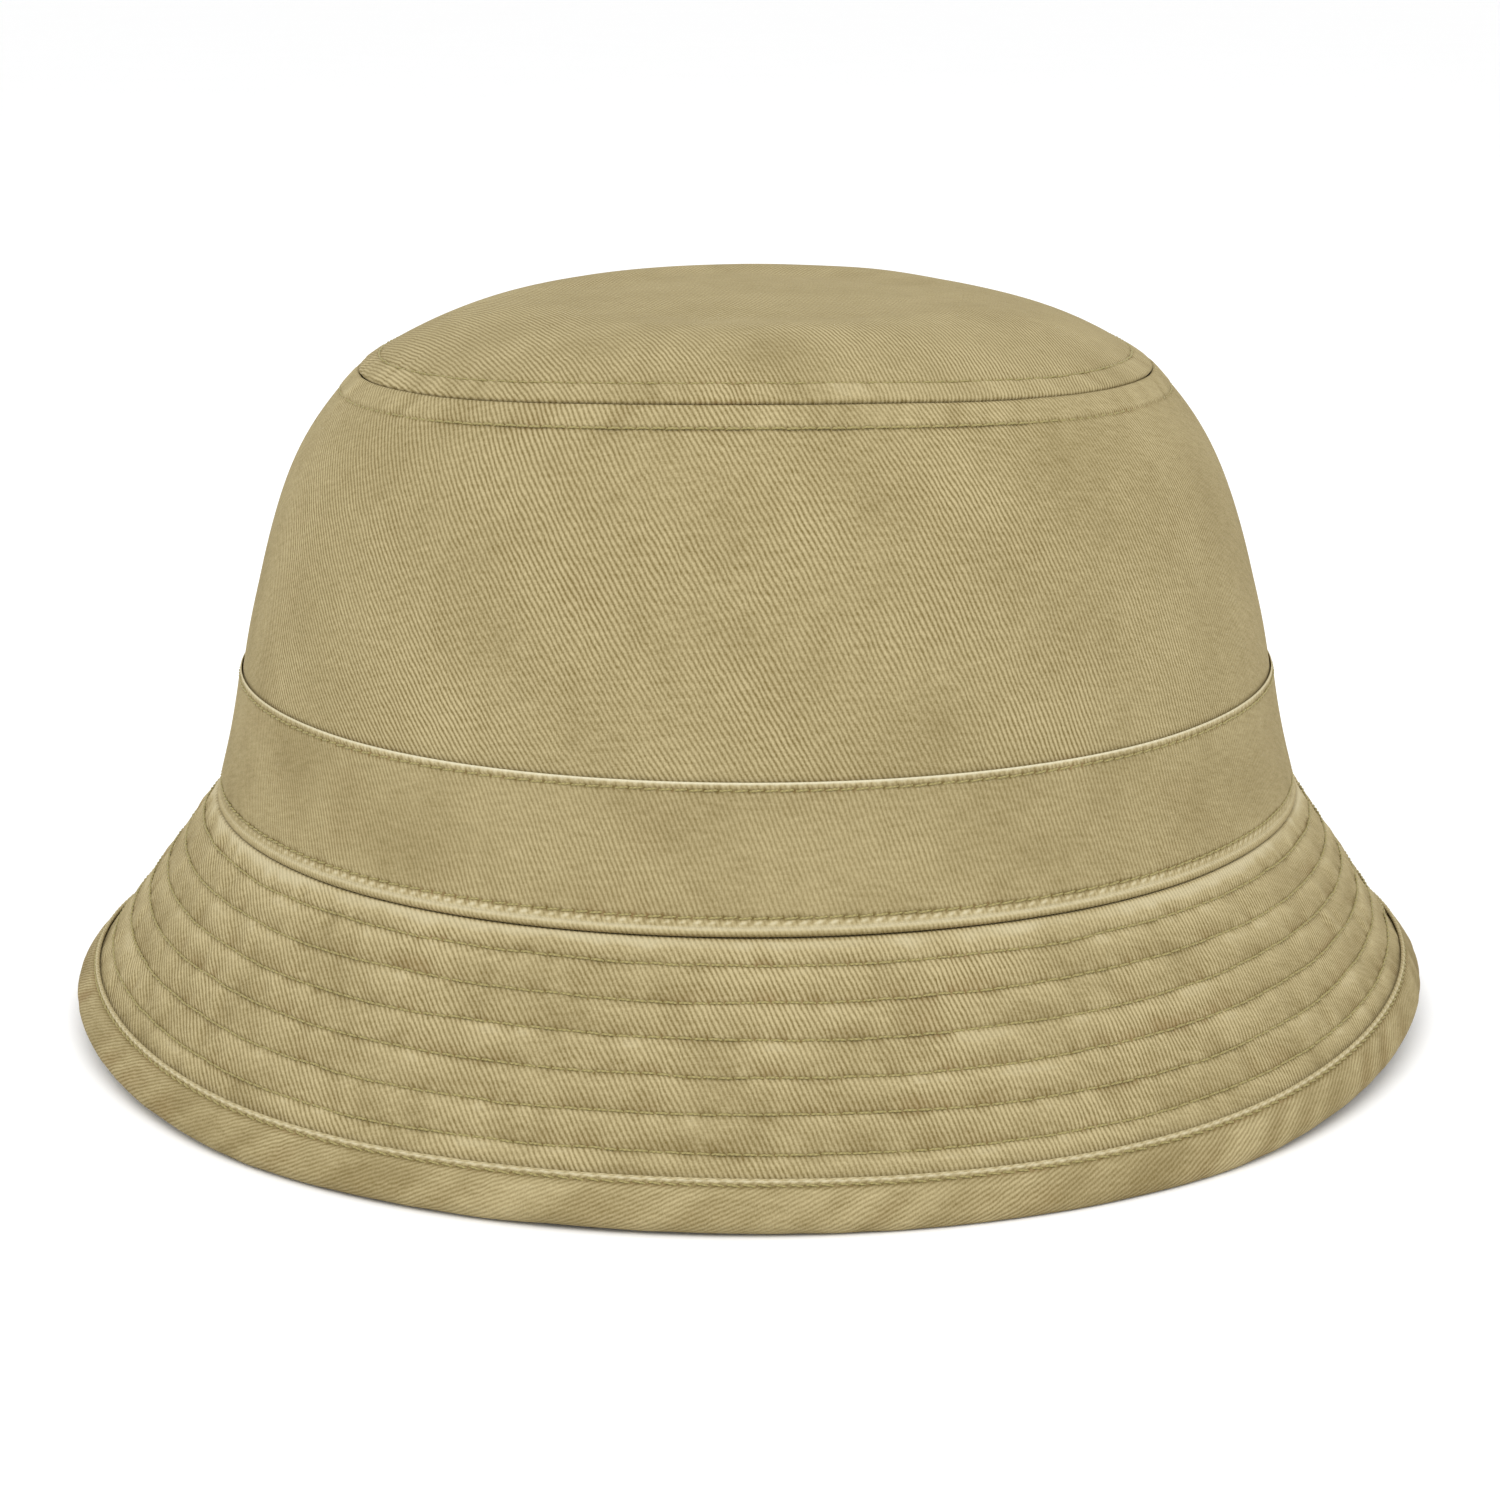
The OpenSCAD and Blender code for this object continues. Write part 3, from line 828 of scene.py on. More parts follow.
def crown_relief(p, turn, s):
    """How far the crown side stands proud of its line, and how worn it is there."""
    low = smooth(18, 34, s)
    h = low * (0.26 * ripple(11, turn, s, 12, 34) + 0.12 * ripple(12, turn, s, 27, 19))
    off = p.crown_line(p.slant - p.TIP_ROW, p.crown_out)[0]
    strip, wear_and_painted_light = seam_strip(p, turn, p.slant - s, off, 13)
    h = h + strip + seam_dip(p, turn, 0.45, 0.7)
    # Painted shade on the crown along the band's top edge.
    wear_and_painted_light = wear_and_painted_light - 0.35 * (1 - smooth(p.band_top - 0.1, p.band_top + 0.8, s))
    wear_and_painted_light = wear_and_painted_light + 0.09 * ripple(15, turn, s, 31, 13) + 0.09 * ripple(16, turn, s, 74, 6)
    return h, wear_and_painted_light + 1.6 * seam_dip(p, turn, 0.5, 0.8)


def tip_relief(p, turn, t):
    """The same for the tip, t from its seam."""
    far = smooth(4, 24, t) * (1 - smooth(40, 64, t))
    h = far * (0.30 * ripple(21, turn, t, 9, 26) + 0.10 * ripple(22, turn, t, 21, 12))
    strip, wear_and_painted_light = seam_strip(p, turn, t, p.tip_line(p.TIP_ROW, 0)[0], 23)
    wear_and_painted_light = wear_and_painted_light + 0.14 * ripple(25, turn, t, 31, 13) * (1 - smooth(30, 50, t))
    return h + strip, wear_and_painted_light


def brim_relief(p, turn, d, upper):
    """Puffs between the rows of stitching, with the creases that the rows draw in."""
    seed, out = (40, p.top_out) if upper else (140, p.under_in)
    d = d - p.wander(turn, d)
    edges = np.array([-0.6, *p.rows, p.binding_top + 1.2])
    bay = np.clip(np.searchsorted(edges, d) - 1, 0, len(edges) - 2)
    b = (d - edges[bay]) / (edges[bay + 1] - edges[bay])
    puff = np.clip(4 * b * (1 - b), 0, 1) ** 0.85
    beside = np.abs(np.cos(p.phi(turn)))
    sides = 0.55 + 0.45 * beside**1.5
    slanted = turn - (b - 0.5) * 0.003
    crease, patch, fleck = np.zeros_like(b), np.zeros_like(b), np.zeros_like(b)
    for i in range(len(edges) - 1):
        here = bay == i
        crease += here * 0.70 * ripple(seed + i, slanted, b * 2, 137, 2)
        crease += here * 0.60 * ripple(seed + 40 + i, slanted, b * 3, 263, 2)
        patch += here * ripple(seed + 20 + i, slanted, b * 0, 67, 50)
        fleck += here * ripple(seed + 80 + i, slanted, b * 2, 389, 2)
    lift = p.puff * (1.76 - 1.53 * sides) * (0.9 + 0.25 * ripple(seed + 60, turn, d, 43, 7))
    h = puff * lift + p.pucker * (crease + 0.5 * patch) * sides * (0.35 + 0.65 * puff)
    by_row = near(b, 0.06, 0.20) + near(b, 0.94, 0.20)
    # Painted light and shade that follow the creases, and pale flecks by the rows painted as
    # highlights on the puckers.
    wear_and_painted_light = 0.24 * crease + 0.11 * patch + 0.30 * fleck * by_row
    h = h + 0.05 * fleck * by_row * puff**0.5
    # Painted highlight on the upper part of each puff and painted shade on its lower part, as if
    # lit from above.
    wear_and_painted_light = wear_and_painted_light + (0.30 + 0.20 * patch) * near(b, 0.24, 0.2)
    wear_and_painted_light = wear_and_painted_light - (0.24 + 0.30 * patch) * near(b, 0.84, 0.2) * (1.5 - sides)
    # Painted shade along each row of stitching and in its needle holes.
    for row in p.rows:
        hole = needle_holes(p, turn, p.brim_line(row, out)[0], d, row, 0.36)
        h = h - 0.12 * hole
        wear_and_painted_light = wear_and_painted_light - 0.12 * near(d, row, 0.45) - (1.5 - 0.8 * sides) * hole
    h = h - 0.14 + seam_dip(p, turn, 0.40, 0.6)
    wear_and_painted_light = wear_and_painted_light + 1.4 * seam_dip(p, turn, 0.5, 0.8)
    # Painted light on the brim beside the band, which lifts the shade of the corner there.
    lit_by_band = (1 - smooth(1.8, 5.4, d)) * upper
    wear_and_painted_light = np.minimum(np.minimum(wear_and_painted_light, 0.55) + 0.6 * lit_by_band, 0.85)
    # Painted shadow under the band's lower roll, almost gone at the sides.
    in_its_shade = np.exp(-np.maximum(0, d - 0.75) / 0.28) * upper
    return h, wear_and_painted_light - 1.5 * in_its_shade * (1 - 0.95 * beside)


def under_binding(p, d):
    """1 where the brim's layers lie inside the binding, 0 outside it."""
    return smooth(p.binding_top - 0.4, p.binding_top + 0.8, d)


# --- Crown ------------------------------------------------------------------


def tip_rings(p):
    """The rings of the tip from its seam inwards: distance from the seam, and points.

    The flat middle shrinks evenly, and a ring whose points crowd has half as many.
    """
    widest, crowded, last = 4.0, 0.62, 0.04
    rim = ladder(
        (0.15, 1.6, 0.24), (1.6, 3.2, 0.4), (3.2, 5.4, 0.2), (5.4, 9, 0.6), (9, p.tip_arc, 1.1)
    )
    rings = [(t, p.columns) for t in rim]
    count, share, step = p.columns, 1.0, 1.1
    while share - step / p.tip_flat > last:
        share -= step / p.tip_flat
        rings.append((p.tip_arc + (1 - share) * p.tip_flat, count))
        if share * p.columns / count < crowded and count % 2 == 0 and count > 36:
            count //= 2
            share -= step / p.tip_flat
            rings.append((p.tip_arc + (1 - share) * p.tip_flat, count))
        if count < p.columns:
            step = min(0.66 * p.columns / count, widest)
    return rings


def dome_faces(counts):
    """Faces between rings of points, each with as many as the last or half as many."""
    four, three, start = [], [], 0
    for many, few in zip(counts, counts[1:]):
        j = np.arange(few)
        inner = start + many + np.stack([(j + 1) % few, j], -1)
        if many == few:
            outer = start + np.stack([j, (j + 1) % many], -1)
        else:
            three.append(np.stack([start + 2 * j, start + 2 * j + 1, inner[:, 1]], -1))
            outer = start + np.stack([2 * j + 1, (2 * j + 2) % many], -1)
        four.append(np.concatenate([outer, inner], -1))
        start += many
    j = np.arange(few)
    three.append(np.stack([start + j, start + (j + 1) % few, j * 0 + start + few], -1))
    return np.concatenate(four), np.concatenate(three)


def crown_tip_piece(scene):
    """The tip, a dome whose rings hold fewer points towards the middle."""
    p = Pattern(scene)
    dome, off_grain = 0.5, math.radians(10)
    all_turns = whole_turn(p)[0][0]
    rings = tip_rings(p)
    outer, inner, uv, wear_and_painted_light = [], [], [], []
    for t, count in rings:
        turn = all_turns[:: p.columns // count]
        on_rim = min(t, p.tip_arc)
        share = 1 - (t - on_rim) / p.tip_flat
        h, worn_and_lit = tip_relief(p, turn, t)
        for face, out in ((outer, h), (inner, h * 0.8 - p.cloth - p.doubled(t))):
            points = p.tip(turn, on_rim, out)
            if t > p.tip_arc:
                points[:, :2] *= share
                points[:, 2] = p.tip(turn, t, 0)[:, 2] + dome * (1 - share**2) + out
            face.append(points)
        x, y = p.oval(turn, p.tip_line(p.tip_arc, 0)[0] + p.tip_arc - on_rim)
        uv.append(np.stack([x * share, y * share], -1))
        wear_and_painted_light.append(worn_and_lit)
    for face in (outer, inner):
        face.append(np.array([[0, 0, face[-1][:, 2].mean()]]))
    uv.append(np.zeros((1, 2)))
    wear_and_painted_light.append(np.zeros(1))
    outer, inner, uv, wear_and_painted_light = (np.concatenate(part) for part in (outer, inner, uv, wear_and_painted_light))
    four, three = dome_faces([count for _, count in rings])
    rim = np.arange(p.columns, -1, -1) % p.columns

    def sides(inner):
        """Faces of both sides and of the rim, with inner added for the inner side."""
        edge = quads(np.stack([rim, inner + rim]))
        return [
            np.concatenate([four, inner + four[:, ::-1], edge]),
            np.concatenate([three, inner + three[:, ::-1]]),
        ]

    cos, sin = math.cos(off_grain), math.sin(off_grain)
    turned = uv @ np.array([[cos, sin], [-sin, cos]])
    points = np.concatenate([outer, inner])
    wear_and_painted_light = np.concatenate([wear_and_painted_light, wear_and_painted_light])
    node = "crown_tip"
    piece = make_piece(node, points, sides(len(outer)), turned, sides(0), wear_and_painted_light)
    width, length = np.ptp(uv, axis=0) / MM
    finish_piece(piece, node, "crown_twill")


def crown_side_pieces(scene):
    """The two panels of the crown side, doubled along the tip seam."""
    p = Pattern(scene)
    s = ladder(
        (0.6, p.band_top - 1, 3.2),
        (p.band_top - 1, p.band_top + 1.2, 0.55),
        (p.band_top + 1.2, 64, 1.45),
        (64, p.slant - 5.4, 0.7),
        (p.slant - 5.4, p.slant - 3.0, 0.22),
        (p.slant - 3.0, p.slant - 1.4, 0.4),
        (p.slant - 1.4, p.slant - 0.15, 0.22),
    )[:, None]
    mean_lean = math.asin(-p.crown_line(p.slant, 0)[0] / p.slant)
    for half, turn, on_cut in halves(p):
        h, wear_and_painted_light = crown_relief(p, turn, s)
        outer = p.crown(turn, s, p.crown_out + h)
        inner = p.crown(turn, s, p.crown_in - p.doubled(p.slant - s) + h * 0.8)
        uv = p.fan(on_cut, mean_lean, s)
        make_shell(f"crown_side_{half}", "crown_twill", outer, inner, uv, wear_and_painted_light)


def outer_band_piece(scene):
    """The band: flat cloth between a thin rolled top edge and a full lower roll."""
    p = Pattern(scene)
    turn, turn_map = (t - 0.25 for t in whole_turn(p))
    low, top, inn = p.band_lift, p.band_top, p.band_in
    roll, top_roll, turned_in = 0.64, 0.22, 2.0
    a = np.radians(np.linspace(-200, 78, 17))
    b = np.radians(np.linspace(-20, 200, 11))
    flat = ladder(
        (low + 0.75, low + 3.2, 0.24), (low + 3.2, top - 2.4, 1.2), (top - 2.4, top - 0.4, 0.22)
    )
    flat_out = inn + p.BAND_FACE + 0.40 * (1 - smooth(low + 2, top - 5, flat))
    roll_s, roll_out = low - 0.06 + roll * np.sin(a), inn + roll + 0.04 + roll * np.cos(a)
    top_s = top - top_roll + top_roll * np.sin(b)
    top_out = inn + top_roll + 0.12 + top_roll * np.cos(b)
    s, out, front, face, outside = section_of(
        (roll_s, roll_out, 0.6, 0.0, np.cos(a) > -0.2),
        (flat, flat_out, 1.0, 1.0, True),
        (top_s, top_out, 0.5, 0.0, np.cos(b) > -0.3),
        (np.linspace(top - 0.7, low + 1.0, 10), inn, 0.0, 0.0, False),
    )
    out = p.pressed(turn, s, out)
    h = 0.14 * ripple(31, turn, s, 16, 16) * near(s, (low + top) / 2, 9)
    pull = ripple(32, turn + s * 0.0012, s * 0, 163, 50)
    # Painted light and shade on the puckers by the lower row of stitching, with random tone.
    wear_and_painted_light = 0.25 * pull * face * np.exp(-np.abs(s - p.band_low_row) / 1.6)
    wear_and_painted_light = wear_and_painted_light + face * (0.16 * ripple(33, turn, s, 31, 9) + 0.12 * ripple(34, turn, s, 84, 5))
    for row, deep in ((p.band_low_row, 0.12), (p.band_top_row, 0.08)):
        hole = needle_holes(p, turn, p.crown_line(row, p.band_out)[0], s, row, 0.36)
        h = h - face * (deep * near(s, row, 0.42) + 0.16 * hole)
        h = h + face * 0.07 * pull * np.exp(-np.abs(s - row) / 2.2)
        # Painted shade in the needle holes.
        wear_and_painted_light = wear_and_painted_light - face * 1.8 * hole
    place = stitch_place(p, turn, p.crown_line(low, p.band_out)[0])
    twist = np.cos(TAU * (place - 0.45 * (s - low)))
    h = h + 0.03 * twist * (1 - face) * front * (s < low + 1.2)
    seam = np.abs((turn - 0.25) % 1.0 - 0.5) * p.girth
    h = h - 0.30 * np.exp(-seam / 0.35) * front + 0.22 * near(seam, 1.6, 1.3) * front
    section = p.crown(turn, s, out + h * front)
    uv = p.fan(turn_map, p.lean, round_section(s, out, 1.0))

    beside = np.cos(p.phi(turn)) ** 2
    clear = 1 - 0.4 * beside**2
    # Painted highlight on the lower roll and on its twists just above it, less at the sides.
    wear_and_painted_light = wear_and_painted_light + (0.95 + 0.06 * twist) * near(s, low + 0.50, 0.50) * outside * clear
    wear_and_painted_light = wear_and_painted_light + 0.55 * (1 + twist) * near(s, low + 1.35, 0.3) * face * clear
    # Painted shade under the lower roll.
    shade_under_roll = (1 - smooth(low - 0.60, low - 0.1, s)) * outside
    wear_and_painted_light = wear_and_painted_light - 0.9 * shade_under_roll * (1 - 0.85 * beside**0.5)
    # Painted highlight along the thin top edge, and lit notches at the stitches below it.
    notch = np.cos(TAU * 3 * place)
    wear_and_painted_light = wear_and_painted_light + (1.7 + 0.2 * notch) * near(s, top - 0.12, 0.27) * outside * clear
    wear_and_painted_light = wear_and_painted_light + 0.3 * (1 + notch) * near(s, top - 0.62, 0.25) * face
    # Painted shade on the band's hidden back, and darker at its joint.
    wear_and_painted_light = wear_and_painted_light - 1.0 * (1 - outside) - 0.7 * np.exp(-seam / 0.5)
    cut = strip_cut(p.girth, top - low + turned_in)
    make_ring("outer_band", "band_twill", section, uv, wear_and_painted_light)


# --- Brim -------------------------------------------------------------------


def brim_stations(p):
    """Stations down the brim, close together at each row of stitching."""
    parts, at = [(0.6, 1.6, 0.2)], 1.6
    for row in p.rows:
        parts += [(at, row - 0.9, 0.76), (row - 0.9, row + 0.9, 0.26)]
        at = row + 0.9
    parts += [(at, p.binding_top - 0.6, 0.7), (p.binding_top - 0.6, p.brim, 0.8)]
    return ladder(*parts)


def brim_panels(p, layer, slot, levels, turned_up, edge_levels, edge_shade):
    """The front and the back panel of one of the brim's two layers.

    levels gives the outer and the inner face of a panel from its relief. The panel's
    edge is turned up into the head seam: turned_up holds heights on the crown there.
    """
    d = brim_stations(p)[::-1][:, None]
    up = np.array(turned_up)[:, None]
    covered = under_binding(p, d)
    for half, turn, on_cut in halves(p):
        h, wear_and_painted_light = brim_relief(p, turn, d, layer == "brim_top")
        h = h * (1 - covered) - 0.05 * covered
        outer, inner = (
            np.concatenate([p.brim_point(turn, d, level), p.crown(turn, up, edge)])
            for level, edge in zip(levels(d, h), edge_levels)
        )
        uv = p.fan(on_cut, p.brim_lean, np.concatenate([-d, up]))
        # The turned-up edge, hidden in the head seam, is painted dark as shade.
        wear_and_painted_light = np.concatenate([wear_and_painted_light, np.full((len(up), turn.shape[1]), edge_shade)])
        make_shell(f"{layer}_{half}", slot, outer, inner, uv, wear_and_painted_light)


def brim_top_pieces(scene):
    """The upper layer, which steps in under the band's lower roll."""
    p = Pattern(scene)

    def levels(d, h):
        face = p.flange_out + (p.top_out - p.flange_out) * smooth(0.1, 1.0, d)
        h = h * smooth(0.6, 2.4, d)
        return face + h, face - p.cloth + h * 0.9

    turned_up, edge = (1.2, 3.0, 5.5, p.ALLOWANCE), (p.flange_out, p.flange_in)
    brim_panels(p, "brim_top", "brim_twill", levels, turned_up, edge, -1.0)


def brim_under_pieces(scene):
    """The under layer, whose puffs point down."""
    p = Pattern(scene)

    def levels(d, h):
        h = h * smooth(0.4, 2.4, d)
        return p.under_out - h * 0.9, p.under_in - h

    turned_up, edge = (3.0, 5.5, p.ALLOWANCE), (p.under_out, p.under_in)
    brim_panels(p, "brim_under", "brim_under_twill", levels, turned_up, edge, -0.6)


def brim_stiffening_piece(scene):
    """The canvas between the brim's two layers, squeezed at every row of stitching."""
    p = Pattern(scene)
    room, middle = 0.12, 15.0
    d = brim_stations(p)
    d = d[(d > 2.5) & (d < p.brim - 0.2)][::-1][:, None]
    turn, turn_map = whole_turn(p)
    free = 1 - under_binding(p, d)
    top, low = (brim_relief(p, turn, d, upper)[0] * free - 0.05 for upper in (True, False))
    outer = p.brim_point(turn, d, p.stiff_out + np.minimum(top * 0.9, room))
    inner = p.brim_point(turn, d, p.stiff_in - np.minimum(low * 0.9, room))
    uv = flat_map(p.along(turn_map, middle), -d)
    make_shell("brim_interlining", "interlining_canvas", outer, inner, uv, 0.0, wrap=True)


def lie_on_floor(z, soft=0.3):
    """Presses what hangs below the floor flat on it."""
    pressed = 0.02 + soft * np.exp(np.minimum(0, z - 0.02 - soft) / soft)
    return np.where(z < 0.02 + soft, pressed, z)


def edge_binding_piece(scene):
    """Bias strip folded round the brim's edge, pulled in along its stitching."""
    p = Pattern(scene)
    turn, turn_map = whole_turn(p)
    top, out, inn = p.binding_top, p.binding_out, p.binding_in
    radius, end, turned_in, edge_off = (out - inn) / 2, p.brim - 0.93, 2.0, 24.0
    lip = ladder((top + 0.45, top + 2.2, 0.25), (top + 2.2, end, 0.5))
    a = np.radians(np.linspace(84, -84, 19))
    b = np.radians(np.linspace(200, 90, 6))
    rim, rise = top + 0.32 + 0.32 * np.cos(b), 0.34 * np.sin(b)
    back = np.concatenate([[top + 0.3], np.linspace(top + 1.5, p.brim + p.GAP, 5)])
    d, level, face, side = section_of(
        (rim, out - 0.30 + rise, 0.5, 1.0),
        (lip, out, 1.0, 1.0),
        (end + radius * np.cos(a), (out + inn) / 2 + radius * np.sin(a), 1.0, np.sin(a)),
        (lip[::-1], inn, 1.0, -1.0),
        (rim[::-1], inn + 0.30 - rise[::-1], 0.5, -1.0),
        (back, p.under_in - p.GAP, 0.0, 0.0),
        (back[::-1], p.top_out + p.GAP, 0.0, 0.0),
    )
    row = p.binding_row
    off = p.brim_line(row, out)[0]
    hole = needle_holes(p, turn, off, d, row, 0.38)
    h = -0.28 * near(d, row + 0.1, 0.45) + 0.10 * near(d, top + 0.25, 0.35) - 0.12 * hole
    twist = np.cos(TAU * (stitch_place(p, turn, off) - 0.5 * (d - top)))
    twist = twist * near(d, top + 0.3, 0.6)
    h = h + 0.09 * twist
    slanted = turn + (d - top) * 0.0016
    pull, broad = ripple(61, slanted, d * 0, 173, 50), ripple(62, slanted, d * 0, 71, 50)
    h = h + (0.08 * pull + 0.07 * broad) * smooth(top + 1.0, top + 3.4, d)
    h = h + 0.10 * near(d, top + 3.4, 1.9)
    section = p.brim_point(turn, d, level + h * side * face)
    fold = face * (1 - np.abs(side)) * (0.09 * pull + 0.13 * broad)
    section[..., 2] -= fold * math.cos(p.brim_lean)
    section[..., 2] = lie_on_floor(section[..., 2])
    uv = flat_map(p.along(turn_map, edge_off), -round_section(d, level, 0.5))

    # Painted highlight along the top ridge and its twists; painted shade in the stitching groove
    # and needle holes; painted light and shade on the puckers; a lighter band painted on the fold
    # below.
    wear_and_painted_light = 1.25 * near(d, top + 0.25, 0.5) * face + 0.3 * twist * face
    wear_and_painted_light = wear_and_painted_light - (0.75 * near(d, row + 0.15, 0.34) + 0.4 * hole) * face
    wear_and_painted_light = wear_and_painted_light + (0.34 * pull + 0.18 * broad) * face * smooth(top + 1, top + 3, d)
    wear_and_painted_light = wear_and_painted_light + 0.16 * near(d, top + 2.6, 1.2) * face
    wear_and_painted_light = wear_and_painted_light - 0.35 * np.cos(p.phi(turn)) ** 2 * smooth(top + 1, top + 2, d)
    # The hidden back, inside the brim, is painted dark as shade.
    wear_and_painted_light = np.where(face == 0, -0.8, wear_and_painted_light)
    make_ring("edge_binding", "binding_twill", section, uv, wear_and_painted_light)


# --- Inside -----------------------------------------------------------------


def sweatband_piece(scene):
    """The sweatband, with a folded upper edge and a soft fullness between its edges."""
    p = Pattern(scene)
    turn, turn_map = whole_turn(p)
    high, row = p.sweatband_height, p.sweatband_row
    s = ladder((0.0, 1.2, 0.3), (1.2, high - 3, 1.3), (high - 3, high, 0.25))[:, None]
    h = 0.22 * ripple(71, turn, s, 40, 14) * near(s, high / 2, 10)
    h = h + 0.10 * ripple(72, turn + s * 0.0006, s * 0, 120, 50) * np.exp(-np.abs(s - row) / 3)
    h = h - 0.18 * near(s, row, 0.4) + 0.10 * near(s, high - 0.6, 0.8)
    outer = p.crown(turn, s, p.sweat_out - 0.05)
    inner = p.crown(turn, s, -np.minimum(h, 0.3))
    uv = flat_map(p.along(turn_map), s)
    wear_and_painted_light = 0.4 * ripple(73, turn, s, 60, 20) - 0.7 * near(s, row, 0.4)
    make_shell("sweatband", "sweatband_cotton", outer, inner, uv, wear_and_painted_light, wrap=True)


def tip_tape(p):
    """The tape over the tip seam, half on the crown side and half on the tip."""
    turn, turn_map = whole_turn(p)
    half, off = 10, -20.0
    s = ladder((p.slant - half, p.slant - 0.5, 0.8))[:, None]
    t = ladder((0.5, half, 0.8))[:, None]
    on_side, on_tip = (0.10 * ripple(seed, turn, v, 70, 12) for seed, v in ((81, s), (82, t)))
    outer = [p.crown(turn, s, p.tape_out), p.tip(turn, t, p.tip_tape_out)]
    inner = [p.crown(turn, s, p.tape_in - 0.05 + on_side)]
    inner.append(p.tip(turn, t, p.tip_tape_in - 0.05 + on_tip))
    v = np.concatenate([s - p.slant, t])
    uv = flat_map(p.along(turn_map, off), v)
    wear_and_painted_light = -0.4 * near(np.abs(v), half - 0.4, 0.6)
    outer, inner = np.concatenate(outer), np.concatenate(inner)
    make_shell("tip_seam_tape", "seam_tape", outer, inner, uv, wear_and_painted_light, wrap=True)


def seam_tape_pieces(scene):
    """The tape over the tip seam and the two over the side seams, inside the crown."""
    p = Pattern(scene)
    tip_tape(p)
    half, out = 8.0, p.crown_in - p.GAP
    s = ladder((8.1, p.slant - 10.3, 1.0))[:, None]
    for side, middle in (("left", 0.0), ("right", 0.5)):
        turn = np.linspace(middle - half / p.girth, middle + half / p.girth, 25)[None, :]
        across = (turn - middle) * p.girth
        bow = 0.05 * np.cos(across / half * math.pi)
        bow = bow + 0.04 * ripple(83, turn + s * 0.001, s, 90, 9)
        outer, inner = p.crown(turn, s, out), p.crown(turn, s, out - p.TAPE - bow)
        wear_and_painted_light = -0.4 * near(np.abs(across), half - 0.4, 0.5)
        name = f"side_seam_tape_{side}"
        make_shell(name, "seam_tape", outer, inner, flat_map(across, s), wear_and_painted_light)


def blank_label_piece(scene):
    """A plain woven tab at the back of the sweatband, with nothing on it."""
    p = Pattern(scene)
    half, high, middle = 17.0, 16.0, 0.75
    low = (p.sweatband_height - high) / 2
    turn = np.linspace(middle - half / p.girth, middle + half / p.girth, 69)[None, :]
    across = (turn - middle) * p.girth
    s = ladder((low, low + high, 0.5))[:, None]
    inset = np.minimum(half - np.abs(across), np.minimum(s - low, low + high - s))
    bow = 0.18 * smooth(0, 3.0, inset) + 0.05 * ripple(91, turn, s, 300, 6)
    hem = near(half - np.abs(across), 1.5, 0.4)
    outer, inner = p.crown(turn, s, -0.12), p.crown(turn, s, -0.5 - bow + 0.12 * hem)
    make_shell("blank_label", "label_cotton", outer, inner, flat_map(across, s), -0.8 * hem)


# --- Stitching --------------------------------------------------------------


def stitch_row(p, put, at, out, off, facing=1.0, seed=0, sunk=0.0, slant=0.1, stray=None):
    """Points, side faces, end faces and map of one row of stitches.

    put places a point of the layer that the row is on, at is the row's place there and
    out its level, and off says how far outside the head line the row runs.
    """
    count, sides, r = stitch_count(p, off), 6, p.thread / 2
    run = np.array([-0.47, -0.40, -0.22, 0.0, 0.22, 0.40, 0.47])
    rise = np.array([-1.1, -0.25, 0.55, 0.75, 0.55, -0.25, -1.1]) * r - sunk
    thick = np.array([0.55, 0.9, 1.0, 1.0, 1.0, 0.9, 0.55])
    rng = np.random.default_rng(seed)
    wobble = rng.normal(0, 0.03, (count, 1))
    uneven = 1 + rng.normal(0, 0.02, (count, 1))
    share = (np.arange(count)[:, None] + 0.5 + run * uneven) / count
    turn = p.turn_at(share, off)
    across = at + wobble + slant * run * 0.2 * p.stitch
    if stray:
        across = across + stray(turn, across)
    level = out + facing * (rise + rng.normal(0, 0.02, (count, 1)))
    centre, step = put(turn, across, level), 0.05
    n = put(turn, across, level + step) - put(turn, across, level - step)
    b = put(turn, across + step, level) - put(turn, across - step, level)
    n, b = (v / np.linalg.norm(v, axis=-1, keepdims=True) for v in (n, b))
    w = (np.arange(sides) / sides * TAU)[:, None]
    radius = (r * thick)[:, None, None]
    points = centre[:, :, None] + radius * (np.cos(w) * n[:, :, None] + np.sin(w) * b[:, :, None])
    grid = numbered(len(run), sides, False, True)
    first = np.arange(count)[:, None] * len(run) * sides
    tube = (first[..., None] + quads(grid)).reshape(-1, 4)
    ends = np.concatenate([first + grid[0, sides - 1 :: -1], first + grid[-1, :sides]])
    uv = flat_map(share[..., None] * count, np.arange(sides) / sides)
    return points.reshape(-1, 3), tube, ends, uv.reshape(-1, 2)


def thread_piece(name, *rows):
    """One node's stitches: the thread on the outside and the one inside."""
    faces, total = [[], []], 0
    for points, tube, ends, _ in rows:
        faces[0].append(tube + total)
        faces[1].append(ends + total)
        total += len(points)
    faces = [np.concatenate(part) for part in faces]
    points, uv = (np.concatenate([row[i] for row in rows]) for i in (0, 3))
    finish_piece(make_piece(name, points, faces, uv, faces), name, "khaki_thread")


def crown_stitching(scene):
    """The two rows beside the tip seam."""
    p = Pattern(scene)
    s, t = p.slant - p.TIP_ROW, p.TIP_ROW
    off = p.crown_line(s, p.crown_out)[0]
    thread_piece(
        "tip_stitch_below",
        stitch_row(p, p.crown, s, p.crown_out, off, seed=1, sunk=0.15),
        stitch_row(p, p.crown, s, p.tape_in - 0.05, off, -1, seed=2),
    )
    off = p.tip_line(t, 0)[0]
    thread_piece(
        "tip_stitch_above",
        stitch_row(p, p.tip, t, 0.0, off, seed=3, sunk=0.15),
        stitch_row(p, p.tip, t, p.tip_tape_in - 0.05, off, -1, seed=4),
    )


